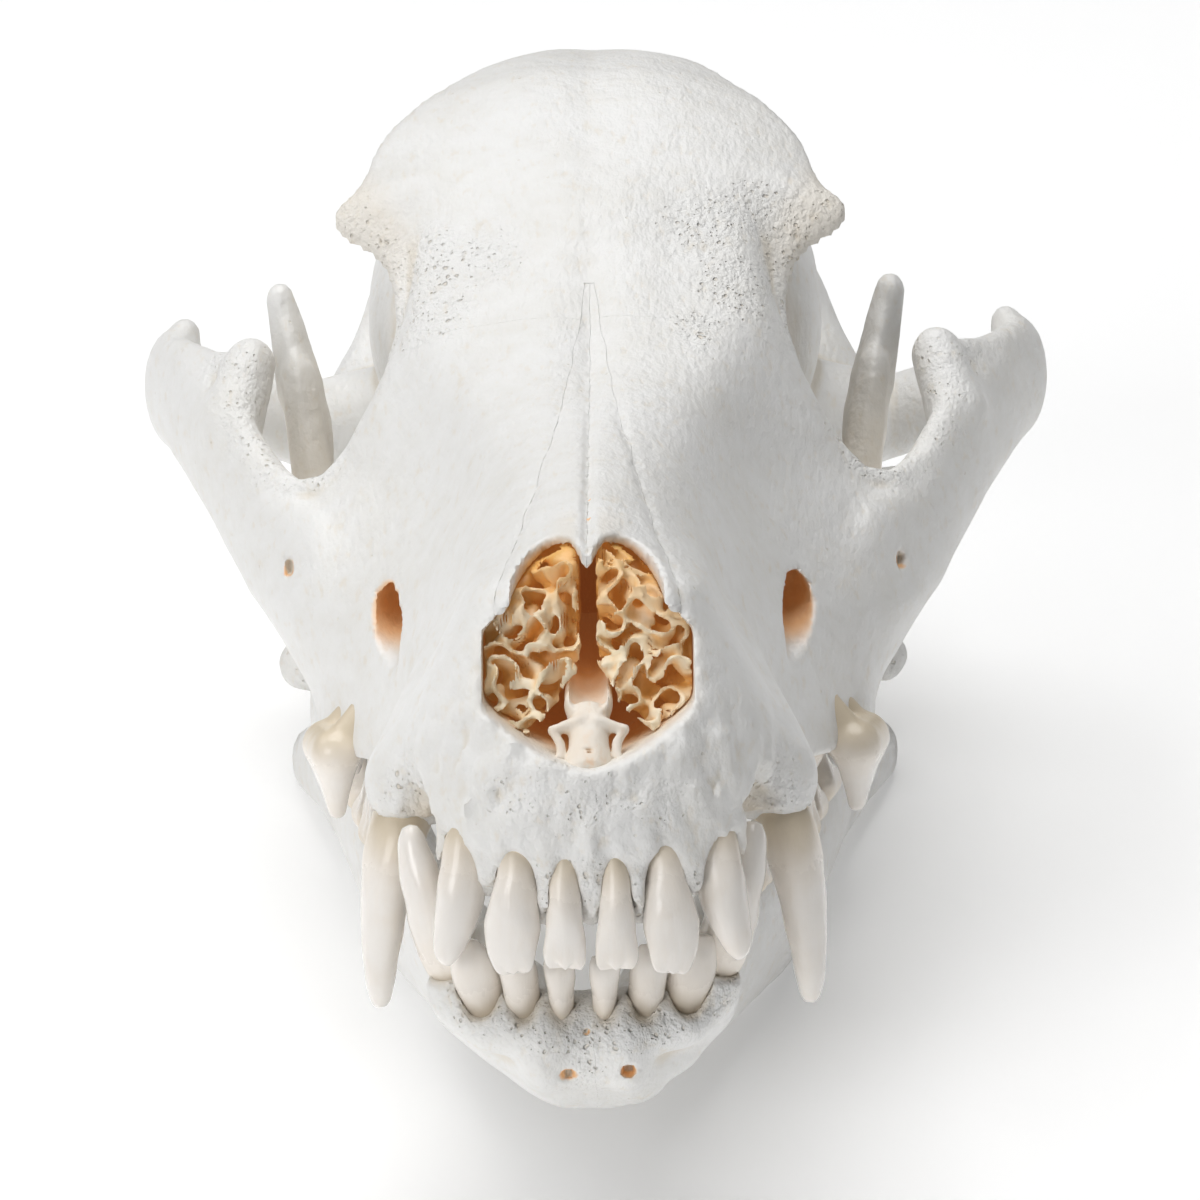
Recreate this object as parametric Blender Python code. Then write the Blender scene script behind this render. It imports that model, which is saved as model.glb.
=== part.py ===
"""A dog's skull with its lower jaw, life size, as it stands on a table.

The bones are solids of a distance field, in millimetres, in the skull's own frame:
X to the animal's left, Y back from the front of the upper jaw, Z up from the palate's plane.
The last step leans the skull back on its lower jaw and sets it on the floor.
"""

import math
import random

import bmesh
import bpy
from mathutils import Matrix, Vector

MM = 0.001
GAP = 0.3               # left at each suture and round what lies in the nose
LEAN = 11.0             # degrees that the palate rises towards the nose
FLOOR_LEVEL = -48.9     # height of the floor once the skull leans back
JAW_SHIFT = -1.0        # the lower jaw sits a little to the animal's right
GRID = 1.3              # spacing of the field's samples
TOOTH_SIDES = {"incisor": 8, "canine": 8, "cusp": 6, "molar": 6}
SEED = 7
CRANIUM_TRIANGLES = 5000
JAW_TRIANGLES = 1200
SCROLL_TRIANGLES = 500
VOMER_TRIANGLES = 300

LEFT_RIGHT = (("left", 1), ("right", -1))
ALONG_X, ALONG_Y, ALONG_Z = (1, 0, 0), (0, 1, 0), (0, 0, 1)
JAW_LEAN = (1, -0.3, -0.3)
RAMUS_SIDE = (1, 0, -0.12)

CRANIUM_BOX = ((-62, -6, -14), (62, 208, 80))
JAW_BOX = ((0, -6, -50), (56, 166, 54))
SCROLL_BOX = ((0, 8, 9), (13, 30, 34))
VOMER_BOX = ((-6, 0, 8), (6, 36, 24))

# Half widths and heights of the face and forehead: (place along Y, size).
FACE_ROOF = ((0, 30.0), (15, 32.0), (40, 36.2), (60, 39.4), (76, 42.8), (86, 46.4), (96, 52.5), (106, 59.5),
             (116, 64.5), (130, 67.5))
FACE_GUM = ((0, -2.6), (3, -1.8), (6, 0.6), (10, 3.2), (14, 4.6), (20, 4.4), (28, 2.2), (40, 0.8),
            (60, -0.2), (76, -1.2), (90, 0.3), (110, 4.0))
FACE_LEVELS = {          # height: half widths
    0.0: ((20, 21.3), (30, 19.6), (40, 19.2), (52, 21.4), (62, 25.6), (72, 29.8), (80, 31.6), (88, 31.2),
          (96, 27.8), (110, 20.0)),
    14.0: ((20, 19.6), (30, 17.8), (40, 17.4), (52, 19.2), (62, 22.4), (70, 26.4), (78, 32.4), (84, 36.8),
           (90, 39.2), (110, 41.0)),
    28.0: ((20, 12.2), (30, 12.2), (45, 13.0), (60, 15.0), (72, 17.8), (82, 23.0), (88, 27.6), (93, 30.0),
           (100, 29.0), (110, 26.0)),
    "roof": ((20, 6.0), (40, 7.2), (60, 10.2), (76, 13.4), (88, 16.6), (96, 18.2), (116, 18.0)),
}
CROWN = ((84, 45.0), (96, 52.5), (106, 60.0), (114, 65.2), (122, 68.8), (132, 71.0), (143, 71.7),
         (156, 70.2),
         (170, 67.4), (185, 64.6), (200, 60.5))
CROWN_WIDTH = ((84, 17.0), (94, 20.2), (101, 21.6), (105, 23.8), (108, 27.6), (110.5, 30.4), (112.5, 28.8),
               (116, 27.0), (120, 25.8), (126, 22.4), (133, 17.8), (142, 12.2), (152, 7.2), (162, 3.8),
               (200, 1.6))
CROWN_FALL = ((84, 4.0), (94, 9.5), (101, 11.0), (106, 9.6), (111, 8.0), (116, 5.4), (121, 3.6), (130, 2.2),
              (145, 1.0), (200, 0.6))
CROWN_THICK = ((84, 14.0), (104, 10.0), (112, 5.5), (124, 8.0), (150, 7.0), (200, 6.0))

# Domes: middle, radii, turn in degrees, blend.
CRANIUM_DOMES = {
    "frontal core": ((0, 124, 43), (18.0, 30, 21.0), (0, 0, 0), 5.0),
    "brain": ((0, 154, 38), (28.6, 40, 29.0), (0, 0, 0), 6.0),
    "occiput": ((0, 181, 34), (27, 14, 25), (0, 0, 0), 6.0),
    "sphenoid": ((0, 118, 26), (13.5, 34, 16), (0, 0, 0), 6.0),
    "petrous": ((17, 165, 16), (13, 14, 11), (0, 0, 0), 5.0),
    "mastoid": ((27.5, 173, 18), (6.5, 8, 13), (12, 0, 0), 3.0),
    "bulla": ((15.0, 161, 4.5), (8.6, 11.5, 8.6), (0, 0, 12), 2.0),
    "occipital condyle": ((10.5, 189, 17), (5.6, 8.5, 9.0), (20, 0, -25), 2.0),
}
# Bars: points, a radius at each, the side that is flattened, how thin, blend.
CRANIUM_BARS = {
    "skull base": (((0, 96, 22), (0, 150, 12), (0, 187, 10)), (9, 9.5, 8), ALONG_Z, 0.6, 5.0),
    "pterygoid": (((10.2, 101, 10), (9.6, 118, 9.5), (9.2, 137, 7)), (7.0, 7.5, 4.5), ALONG_X, 0.28, 3.0),
    "sagittal crest": (((0, 150, 65), (0, 176, 62.5), (0, 196, 57)), (4.4, 4.4, 4.0), ALONG_X, 0.6, 5.0),
    "nuchal crest": (((0, 197, 57.5), (11, 194, 55), (20, 188, 46.5), (26.5, 180, 35), (31, 171.5, 24)),
                     (3.6, 3.8, 3.8, 3.8, 4.0), ALONG_X, 1.0, 7.0),
    "jugular process": (((20, 179, 13), (22, 183, -4.5)), (4.6, 2.2), ALONG_X, 0.8, 4.0),
    "temporal arch": (((25, 162, 22), (38, 164.5, 22.5), (46, 159, 26), (51.4, 149, 30), (52.2, 138, 32)),
                      (9, 5.4, 5.2, 5.6, 6.6), ALONG_X, 0.5, 3.0),
    "jaw socket": (((25, 151, 11), (41, 150.5, 14)), (9.0, 6.4), ALONG_Z, 0.7, 4.0),
    "retroarticular": (((26, 157, 8), (27, 157, -1.5), (35, 156.5, 1)), (5, 4.2, 3.4), ALONG_Y, 0.7, 3.0),
    "zygomatic arch": (((33, 89, 17), (38, 97, 20.5), (43.8, 110, 27.5), (48.6, 123, 29.5), (51.6, 134, 31)),
                       (9.5, 8.2, 8.4, 6.8, 6.6), (1, -0.45, 0), 0.42, 3.0),
    "frontal process": (((43.2, 110, 31), (40.9, 114.3, 37.6)), (4.2, 3.1), ALONG_X, 0.9, 2.5),
    "orbit rim": (((24.4, 94.5, 37), (28.4, 92.5, 30.5), (32.6, 92.8, 27.6), (37.6, 99, 28.6),
                   (40.2, 107, 33)),
                  (1.6, 1.8, 1.8, 1.8, 1.8), ALONG_X, 1.0, 2.0),
    "arch peak": (((51.2, 132, 35.0), (50.8, 139.5, 37.0), (51.2, 146, 34.6)), (2.4, 2.6, 2.2),
                  ALONG_X, 0.8, 3.0),
    "canine root": (((19.0, 20.5, 7), (16.2, 31, 18)), (4.4, 3.4), ALONG_X, 1.0, 6.0),
}
CRANIUM_HOLLOWS = {
    "back of the nose": ((0, 121, 5), (7.6, 22, 12), (0, 0, 0), 1.5),
    "foramen magnum": ((0, 194, 22), (8.6, 20, 7.4), (0, 0, 0), 1.5),
    "ear": ((31, 164, 12.5), (8, 3.6, 3.8), (0, 0, 0), 1.0),
    "infraorbital canal": ((22.8, 69, 14.4), (2.3, 13, 3.9), (-10, 0, -8), 1.5),
    "palatine fissure": ((4.6, 15.5, 2), (2.4, 5.6, 12), (0, 0, 0), 1.0),
    "jaw joint": ((32, 147, -2.6), (13, 6.6, 7.2), (0, -4, 0), 1.5),
    "diastema": ((19.6, 11.0, 1), (6.0, 4.0, 9), (0, 0, 0), 2.0),
}
ORBIT = ((38.5, 114, 38), (24, 24, 24))
CHEEK = ((45, 116, 1), (17.5, 24, 17))
NOSE = ((0, 12, 20.9), (11.4, 34, 9.9), (6, 0, 0))

JAW_BARS = {
    "body": (((6.2, 24, -21.2), (10.8, 45, -21.6), (16.0, 66, -22.2), (20.8, 86, -21.8), (25.2, 104, -17.0),
              (28.2, 112, -11)), (7.4, 9.6, 10.8, 12.0, 11.4, 10), JAW_LEAN, 0.44, 3.0),
    "front": (((4.6, 9, -18.5), (6.2, 24, -21.2)), (5.2, 7.4), ALONG_X, 0.5, 3.0),
    "symphysis": (((1.2, 9.5, -18.5), (1.2, 20, -23.2), (1.6, 31, -26.6)), (5.2, 5.4, 5.2),
                  ALONG_X, 1.0, 4.0),
    "incisor ridge": (((4, 7.6, -17.0), (9.0, 9.6, -16.4)), (4.0, 4.2), ALONG_Z, 0.8, 3.0),
    "canine root": (((12.4, 12.5, -13.2), (8.6, 29, -21.6)), (4.4, 4.6), ALONG_X, 1.0, 4.0),
    "ramus": (((29.2, 122, -4), (34.0, 127, 30)), (17.5, 8.8), RAMUS_SIDE, 0.16, 4.0),
    "coronoid": (((34.0, 127, 28), (36.0, 128, 40)), (8.6, 6.2), RAMUS_SIDE, 0.26, 3.0),
    "front edge": (((27.6, 107, -8), (32.4, 115.5, 20), (35.2, 122.5, 38), (36.4, 125.5, 43.5)),
                   (3.4, 2.8, 2.2, 1.8), ALONG_X, 1.0, 2.5),
    "condyle neck": (((31.0, 132, -6), (32.0, 146, -6)), (8.5, 5.0), ALONG_X, 0.6, 3.0),
    "condyle": (((24.5, 148, -6.4), (36.8, 147, -5.2)), (4.2, 3.8), ALONG_Y, 1.0, 2.5),
    "angle": (((24.8, 108, -20.8), (32.2, 134, -16.0), (36.6, 148.0, -18.0)), (6.2, 6.6, 3.8),
              ALONG_X, 0.6, 3.5),
}
MASSETER_HOLLOW = ((41.5, 124, 3), (8.5, 14, 16), (0, 8, 0))

# Teeth of the left side, one line for each cusp: shape, root, neck, tip, width along the row,
# depth across it, and the row's direction in degrees from X.
UPPER_TEETH = (
    ("incisor", (2.4, 4.6, 6.0), (2.5, 1.3, 0.2), (2.6, 0.4, -8.3), 4.7, 4.6, 0),
    ("incisor", (6.6, 6.0, 7.0), (7.3, 2.9, 0.8), (8.0, 1.7, -9.2), 5.8, 5.0, 18),
    ("incisor", (11.4, 9.4, 9.0), (12.8, 6.4, 1.6), (15.2, 5.2, -8.8), 5.8, 5.6, 42),
    ("canine", (14.2, 29, 11.0), (20.8, 19.4, 2.5), (22.5, 19.6, -17.2), 8.6, 6.4, 80),
    ("cusp", (16.8, 34.5, 6), (19.0, 33.8, 0.5), (19.4, 33.5, -3.6), 5.2, 4.0, 88),
    ("cusp", (16.8, 43.0, 6), (19.1, 42.5, 0.0), (19.4, 41.5, -5.4), 9.5, 4.6, 86),
    ("cusp", (18.6, 54.5, 6), (21.2, 54.0, 0.0), (21.8, 53.0, -6.4), 11.2, 5.0, 76),
    ("cusp", (24.2, 70.5, 6), (27.6, 70.5, -0.5), (29.4, 70.5, -9.2), 10.5, 5.6, 72),
    ("cusp", (27.2, 79.5, 5), (29.2, 79.0, -1.0), (30.2, 79.0, -6.8), 9.0, 5.2, 80),
    ("cusp", (23.5, 66.0, 5), (23.8, 65.5, -0.5), (23.6, 65.5, -3.6), 4.0, 4.0, 60),
    ("cusp", (27.6, 86.0, 5), (28.2, 86.0, -0.5), (28.3, 86.0, -5.8), 6.5, 6.0, 95),
    ("cusp", (26.4, 91.5, 5), (27.0, 91.5, 0.0), (27.0, 91.5, -5.2), 6.0, 6.0, 100),
    ("molar", (20.0, 89.0, 7), (20.4, 89.0, 1.5), (20.6, 89.0, -3.4), 8.5, 9.0, 95),
    ("molar", (23.0, 96.0, 7), (23.4, 96.4, 1.5), (23.6, 96.6, -3.6), 5.0, 5.5, 100),
    ("molar", (19.4, 96.4, 8), (19.6, 96.8, 3.0), (19.6, 97.0, -2.4), 5.5, 6.0, 100),
)
LOWER_TEETH = (
    ("incisor", (2.0, 12.0, -22), (2.2, 7.2, -14.4), (2.4, 4.8, -8.6), 3.6, 4.4, 0),
    ("incisor", (5.4, 13.0, -22), (6.2, 8.6, -14.2), (6.9, 6.2, -7.6), 4.4, 4.8, 15),
    ("incisor", (8.6, 14.5, -22), (10.4, 10.0, -14.2), (12.4, 8.2, -7.0), 5.8, 5.0, 30),
    ("canine", (9.6, 24.0, -22), (14.4, 12.2, -10.0), (17.9, 11.2, 3.9), 7.6, 6.0, 74),
    ("cusp", (13.4, 28.5, -18), (14.2, 27.0, -12.8), (14.6, 26.6, -9.6), 4.0, 3.4, 82),
    ("cusp", (14.2, 36.0, -18), (14.9, 35.0, -12.6), (15.4, 34.0, -7.8), 8.5, 4.2, 84),
    ("cusp", (15.6, 47.0, -18), (16.6, 46.0, -12.4), (17.2, 45.0, -7.2), 10.0, 4.6, 80),
    ("cusp", (18.0, 59.0, -18), (19.0, 58.0, -12.2), (19.6, 57.0, -5.6), 11.5, 5.0, 76),
    ("cusp", (21.4, 70.0, -18), (22.6, 70.0, -12.2), (23.0, 70.0, -5.4), 9.0, 4.8, 74),
    ("cusp", (22.8, 77.0, -18), (24.0, 77.0, -12.0), (24.2, 77.4, -3.0), 9.5, 5.0, 76),
    ("molar", (24.2, 85.0, -16), (25.2, 85.0, -11.2), (25.4, 85.0, -7.4), 8.0, 5.6, 78),
    ("molar", (26.2, 93.0, -15), (27.0, 93.0, -10.0), (27.0, 93.0, -6.6), 8.0, 5.6, 78),
    ("molar", (28.0, 100.5, -12), (28.6, 100.5, -7.4), (28.4, 100.5, -5.0), 4.5, 4.0, 80),
)
# Rings of a tooth, from root to tip: part of the length, share of the width, share of the depth.
TOOTH_RINGS = {
    "incisor": ((0, 0.45, 0.5), (0.35, 0.62, 0.85), (0.55, 0.8, 1.0), (0.78, 1.0, 0.72), (0.94, 0.9, 0.42),
                (1.0, 0.62, 0.2)),
    "canine": ((0, 0.7, 0.7), (0.3, 1.0, 1.0), (0.52, 0.92, 0.92), (0.76, 0.62, 0.62), (0.94, 0.3, 0.3),
               (1.0, 0.1, 0.1)),
    "cusp": ((0, 0.7, 0.7), (0.4, 0.95, 1.0), (0.62, 0.94, 0.98), (0.86, 0.45, 0.5), (1.0, 0.1, 0.12)),
    "molar": ((0, 0.8, 0.8), (0.45, 1.0, 1.0), (0.8, 0.96, 0.94), (1.0, 0.5, 0.5)),
}

# Outlines of the regions that the sutures part: (X, Y) seen from above, (Y, Z) seen from the side.
NOTCH_OUTLINE = ((0.5, 2.0), (9.3, 2.0), (9.0, 8.6), (8.5, 11.0), (7.8, 13.8), (6.6, 16.6), (5.0, 18.6),
                 (3.4, 19.2), (1.8, 18.2), (0.5, 16.4))
NASAL_WIDTH = ((2, 10.6), (10, 10.0), (17, 8.7), (28, 7.1), (38, 5.8), (50, 4.5), (58, 3.5),
               (71, 2.6), (92, 0.6))
ZYGOMATIC_OUTLINE = ((93.0, 25.0), (97.5, 16.0), (98.5, 4.0), (154.0, 4.0), (154.0, 20.0), (133.0, 35.0),
                     (131.0, 50.0), (93.0, 50.0))
UPPER_JAW_OUTLINE = ((-10, -30), (104.5, -30), (104.5, 4), (103, 14), (101, 26), (97, 34), (92, 40),
                     (86, 47), (80, 90), (-10, 90))
ZYGOMATIC_INNER = 30.0
NASAL_THICK = 3.4
NASAL_STEPS = 22

# The nose's scrolled bone: its cells' period, a sheet's share of it, and where it starts and turns solid.
SCROLL_CELL = 8.6
SCROLL_SHEET = 0.62
SCROLL_FRONT = 14.0
SCROLL_BACK = 25.0

# Colour and roughness of the nodes, by how their names start.
LOOKS = {
    "turbinates": ((0.72, 0.45, 0.2), 0.7),
    "vomer": ((0.8, 0.62, 0.42), 0.65),
    "": ((0.86, 0.84, 0.79), 0.6),
}


class Field:
    """A number or a vector at each point of space, kept as the output of a geometry node."""

    def __init__(self, tree, socket):
        self.tree = tree
        self.socket = socket

    def node(self, kind, values, **settings):
        made = self.tree.nodes.new(kind)
        for key, value in settings.items():
            setattr(made, key, value)
        for slot, value in values.items():
            if isinstance(value, Field):
                self.tree.links.new(value.socket, made.inputs[slot])
            else:
                made.inputs[slot].default_value = value
        return made

    def math(self, operation, *others):
        values = dict(enumerate((self,) + others))
        made = self.node("ShaderNodeMath", values, operation=operation)
        return Field(self.tree, made.outputs[0])

    def vector(self, operation, *others, result=0):
        values = dict(enumerate((self,) + others))
        made = self.node("ShaderNodeVectorMath", values, operation=operation)
        return Field(self.tree, made.outputs[result])

    def __add__(self, other):
        return self.math("ADD", other)

    def __sub__(self, other):
        return self.math("SUBTRACT", other)

    def __rsub__(self, other):
        return (self * -1.0) + other

    def __mul__(self, other):
        return self.math("MULTIPLY", other)

    def __truediv__(self, other):
        return self.math("DIVIDE", other)

    __radd__ = __add__
    __rmul__ = __mul__

    def most(self, other):
        return self.math("MAXIMUM", other)

    def least(self, other):
        return self.math("MINIMUM", other)

    def join(self, other, blend):
        return self.math("SMOOTH_MIN", other, blend)

    def meet(self, other, blend):
        return self.math("SMOOTH_MAX", other, blend)

    def along(self, stops):
        """A smooth curve through (place, value) stops, read at this field's value."""
        places = [place for place, _ in stops]
        values = [value for _, value in stops]
        low, high = min(values) - 1.0, max(values) + 1.0
        part = (self - places[0]) * (1.0 / (places[-1] - places[0]))
        made = self.tree.nodes.new("ShaderNodeFloatCurve")
        made.mapping.extend = "HORIZONTAL"
        points = made.mapping.curves[0].points
        while len(points) < len(stops):
            points.new(0.5, 0.5)
        for point, place, value in zip(points, places, values):
            point.location = ((place - places[0]) / (places[-1] - places[0]), (value - low) / (high - low))
            point.handle_type = "AUTO_CLAMPED"
        made.mapping.update()
        self.tree.links.new(part.math("MAXIMUM", 0.0).math("MINIMUM", 1.0).socket, made.inputs["Value"])
        return Field(self.tree, made.outputs[0]) * (high - low) + low


def new_group(name, inputs):
    """A node group that gives one distance, with its input fields by name."""
    tree = bpy.data.node_groups.new(name, "GeometryNodeTree")
    for label, kind in inputs:
        tree.interface.new_socket(label, in_out="INPUT", socket_type=kind)
    tree.interface.new_socket("Distance", in_out="OUTPUT", socket_type="NodeSocketFloat")
    entry = tree.nodes.new("NodeGroupInput")
    return tree, {label: Field(tree, entry.outputs[label]) for label, _ in inputs}


def close_group(tree, distance):
    ending = tree.nodes.new("NodeGroupOutput")
    tree.links.new(distance.socket, ending.inputs[0])
    return tree


def dome_group():
    """An ellipsoid, turned about its middle."""
    vector = "NodeSocketVector"
    labels = (("Place", vector), ("Middle", vector), ("Radii", vector), ("Turn", vector))
    tree, given = new_group("Dome", labels)
    middle = given["Place"].vector("SUBTRACT", given["Middle"])
    turned = middle.node("ShaderNodeVectorRotate", {"Vector": middle, "Rotation": given["Turn"]},
                         rotation_type="EULER_XYZ", invert=True)
    scaled = Field(tree, turned.outputs[0]).vector("DIVIDE", given["Radii"])
    near = scaled.vector("LENGTH", result=1)
    slope = scaled.vector("DIVIDE", given["Radii"]).vector("LENGTH", result=1).most(1e-6)
    return close_group(tree, near * (near - 1.0) / slope)


def bar_group():
    """A round bar with a radius at each end, squeezed along Flat by the length of Flat."""
    vector, number = "NodeSocketVector", "NodeSocketFloat"
    labels = (("Place", vector), ("From", vector), ("To", vector), ("Flat", vector),
              ("Squeeze", number), ("Start", number), ("End", number))
    tree, given = new_group("Bar", labels)
    place = given["Place"].vector("SUBTRACT", given["From"])
    axis = given["To"].vector("SUBTRACT", given["From"])
    beside = place.vector("DOT_PRODUCT", given["Flat"], result=1) * given["Squeeze"]
    scaled = given["Flat"].node("ShaderNodeVectorMath", {0: given["Flat"], 3: beside}, operation="SCALE")
    place = place.vector("ADD", Field(tree, scaled.outputs[0]))
    part = place.vector("DOT_PRODUCT", axis, result=1) / axis.vector("DOT_PRODUCT", axis, result=1)
    part = part.most(0.0).least(1.0)
    scaled = axis.node("ShaderNodeVectorMath", {0: axis, 3: part}, operation="SCALE")
    distance = place.vector("SUBTRACT", Field(tree, scaled.outputs[0])).vector("LENGTH", result=1)
    radius = given["Start"] + (given["End"] - given["Start"]) * part
    return close_group(tree, distance - radius)


class Space:
    """The field of one solid: its point in millimetres, mirrored to the animal's left side."""

    def __init__(self, name):
        self.tree = bpy.data.node_groups.new(name, "GeometryNodeTree")
        self.tree.interface.new_socket("Geometry", in_out="OUTPUT", socket_type="NodeSocketGeometry")
        place = Field(self.tree, self.tree.nodes.new("GeometryNodeInputPosition").outputs[0])
        place = place.vector("MULTIPLY", (1000.0,) * 3)
        split = place.node("ShaderNodeSeparateXYZ", {0: place}).outputs
        self.side, self.y, self.z = (Field(self.tree, socket) for socket in split)
        self.x = self.side.math("ABSOLUTE")
        both = place.node("ShaderNodeCombineXYZ", {0: self.x, 1: self.y, 2: self.z})
        self.place = Field(self.tree, both.outputs[0])

    def group(self, kind, **values):
        made = self.tree.nodes.new("GeometryNodeGroup")
        made.node_tree = bpy.data.node_groups[kind]
        self.tree.links.new(self.place.socket, made.inputs["Place"])
        for label, value in values.items():
            made.inputs[label].default_value = value
        return Field(self.tree, made.outputs[0])

    def dome(self, middle, radii, turn=(0, 0, 0)):
        return self.group("Dome", Middle=middle, Radii=radii, Turn=[math.radians(a) for a in turn])

    def bar(self, points, radii, flat=(1, 0, 0), thin=1.0):
        """A chain of bars through the points, thin times as thick along flat as across it."""
        unit = Vector(flat).normalized()
        chain = None
        for start, end, first, last in zip(points, points[1:], radii, radii[1:]):
            squeeze = 1.0 / thin - 1.0
            lean = (Vector(end) - Vector(start)).dot(unit) * squeeze
            link = self.group("Bar", From=start, To=Vector(end) + unit * lean, Flat=unit, Squeeze=squeeze,
                              Start=first, End=last)
            chain = link if chain is None else chain.least(link)
        return chain

    def solid(self, name, distance, box, collection, grid=GRID):
        """The closed mesh where the distance is below zero, as a new object in metres."""
        low, high = box
        nodes = self.tree.nodes
        cube = nodes.new("GeometryNodeVolumeCube")
        self.tree.links.new((distance * -1.0).socket, cube.inputs["Density"])
        cube.inputs["Background"].default_value = -1.0
        cube.inputs["Min"].default_value = [value * MM for value in low]
        cube.inputs["Max"].default_value = [value * MM for value in high]
        for axis, start, end in zip("XYZ", low, high):
            cube.inputs[f"Resolution {axis}"].default_value = round((end - start) / grid) + 1
        mesher = nodes.new("GeometryNodeVolumeToMesh")
        mesher.inputs["Threshold"].default_value = 0.0
        self.tree.links.new(cube.outputs[0], mesher.inputs[0])
        self.tree.links.new(mesher.outputs[0], nodes.new("NodeGroupOutput").inputs[0])
        made = add_object(name, bpy.data.meshes.new(name), collection)
        modifier = made.modifiers.new("Field", "NODES")
        modifier.node_group = self.tree
        return made


def face_field(s):
    """Upper jaw and nose, from half widths at four heights."""
    roof = s.y.along(FACE_ROOF)
    gum = s.y.along(FACE_GUM)
    widths = {height: s.y.along(stops) for height, stops in FACE_LEVELS.items()}
    heights = list(FACE_LEVELS)
    gum_width = widths[heights[0]]
    width = gum_width
    for start, end in zip(heights, heights[1:]):
        top = roof if end == "roof" else end
        part = ((s.z - start) / (top - start)).meet(0.0, 0.35).join(1.0, 0.35)
        width = width + (widths[end] - widths[start]) * part
    lean = (s.z - 4.0).most(0.0)
    front = lean * lean * 0.0165 - 0.5
    ahead = (s.y - 20.0).least(0.0) / (20.0 - front)
    across = s.x / width
    face = ((across * across + ahead * ahead).math("SQRT") - 1.0) * width * 0.9
    sag = across * across * 2.6
    vault = (s.x - (gum_width - 8.6)).meet(s.z - 4.6, 5.0).meet(5.0 - s.y, 4.0)
    end = (s.z - 10.0).most(0.0) * 0.5 + 99.0
    face = face.meet(s.z - roof + sag, 5.0).meet(gum - s.z, 2.0)
    return face.meet(vault * -1.0, 2.0).meet(s.y - end, 4.0)


def crown_field(s):
    """The forehead's plate, which ends at the temporal lines and in the postorbital processes."""
    crown, width, fall, thick = (s.y.along(stops) for stops in (CROWN, CROWN_WIDTH, CROWN_FALL, CROWN_THICK))
    across = s.x / width
    top = crown - fall * across * across
    groove = (1.0 - s.x * 0.12).most(0.0)
    thick = thick * (1.0 - across * across * 0.55)
    plate = (s.x - width).meet(s.z - top + groove * groove * 0.8, 1.8).meet(top - thick - s.z, 1.8)
    return plate.meet(86.0 - s.y, 6.0).meet(s.y - 199.0, 2.0)


def cranium_field(s):
    face = face_field(s).meet(s.dome(*ORBIT) * -1.0, 1.2).meet(s.dome(*CHEEK) * -1.0, 3.0)
    body = face.join(crown_field(s), 3.0)
    for middle, radii, turn, blend in CRANIUM_DOMES.values():
        body = body.join(s.dome(middle, radii, turn), blend)
    for points, radii, flat, thin, blend in CRANIUM_BARS.values():
        body = body.join(s.bar(points, radii, flat, thin), blend)
    for middle, radii, turn, blend in CRANIUM_HOLLOWS.values():
        body = body.meet(s.dome(middle, radii, turn) * -1.0, blend)
    return body


def jaw_field(s):
    """The left half of the lower jaw, up to the gap at its front seam."""
    body = None
    for points, radii, flat, thin, blend in JAW_BARS.values():
        bar = s.bar(points, radii, flat, thin)
        body = bar if body is None else body.join(bar, blend)
    return body.meet(s.dome(*MASSETER_HOLLOW) * -1.0, 2.0).meet(GAP / 2 - s.x, 0.3)


def scroll_field(s):
    """The thin scrolled bone in one half of the nose: curved sheets with open cells between them."""
    cell = math.tau / SCROLL_CELL
    waves = []
    for first, second in ((s.x, s.y), (s.y, s.z), (s.z, s.x)):
        waves.append((first * cell).math("SINE") * (second * cell).math("COSINE"))
    sheets = (waves[0] + waves[1] + waves[2]).math("ABSOLUTE") - SCROLL_SHEET
    sheets = (sheets * SCROLL_CELL / 9.0).join(SCROLL_BACK - s.y, 1.0)
    inner = (21.5 - s.z).most(0.0) * 0.22 + 1.3
    sheets = sheets.meet(inner - s.x, 0.6).meet(SCROLL_FRONT - s.y + (s.z - 20.0) * 0.25, 0.6)
    return sheets.meet(vomer_field(s, 0.6) * -1.0, 0.3)


def vomer_field(s, room=0.0):
    """The trough along the floor of the nose and the winged plate in front of it."""
    trough = s.bar(((0, 9, 16.4), (0, 34, 18.6)), (3.0 + room, 2.2 + room))
    if not room:
        trough = trough.meet(s.bar(((0, 7, 17.6), (0, 36, 19.6)), (2.4, 1.5)) * -1.0, 0.5)
    plate = s.dome((0, 17, 12.5), (1.3 + room, 19 + room, 4.2 + room))
    wing = s.bar(((0.6, 5.0, 12.5), (3.6, 6.6, 16.6)), (1.1 + room, 0.8 + room))
    return trough.join(plate, 0.8).join(wing, 0.8)


def clear_scene():
    for obj in list(bpy.data.objects):
        bpy.data.objects.remove(obj)


def add_object(name, mesh, collection):
    made = bpy.data.objects.new(name, mesh)
    collection.objects.link(made)
    return made


def applied(obj):
    """Puts the result of the object's modifiers in its mesh, as triangles."""
    graph = bpy.context.evaluated_depsgraph_get()
    mesh = bpy.data.meshes.new_from_object(obj.evaluated_get(graph))
    obj.modifiers.clear()
    obj.data = mesh
    return obj


def edited(obj, change):
    """Runs a bmesh change on the object's mesh."""
    work = bmesh.new()
    work.from_mesh(obj.data)
    change(work)
    work.to_mesh(obj.data)
    work.free()
    return obj


def keep_largest(work):
    """Leaves only the closed surface with the most faces round the most room."""
    left = set(work.faces)
    shells = []
    while left:
        shell, front = set(), [left.pop()]
        while front:
            face = front.pop()
            shell.add(face)
            near = {other for edge in face.edges for other in edge.link_faces} & left
            left -= near
            front.extend(near)
        room = sum(face.calc_area() for face in shell)
        shells.append((room, shell))
    shells.sort(key=lambda pair: pair[0])
    scraps = [face for _, shell in shells[:-1] for face in shell]
    bmesh.ops.delete(work, geom=scraps, context="FACES")
    bmesh.ops.triangulate(work, faces=work.faces)


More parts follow.
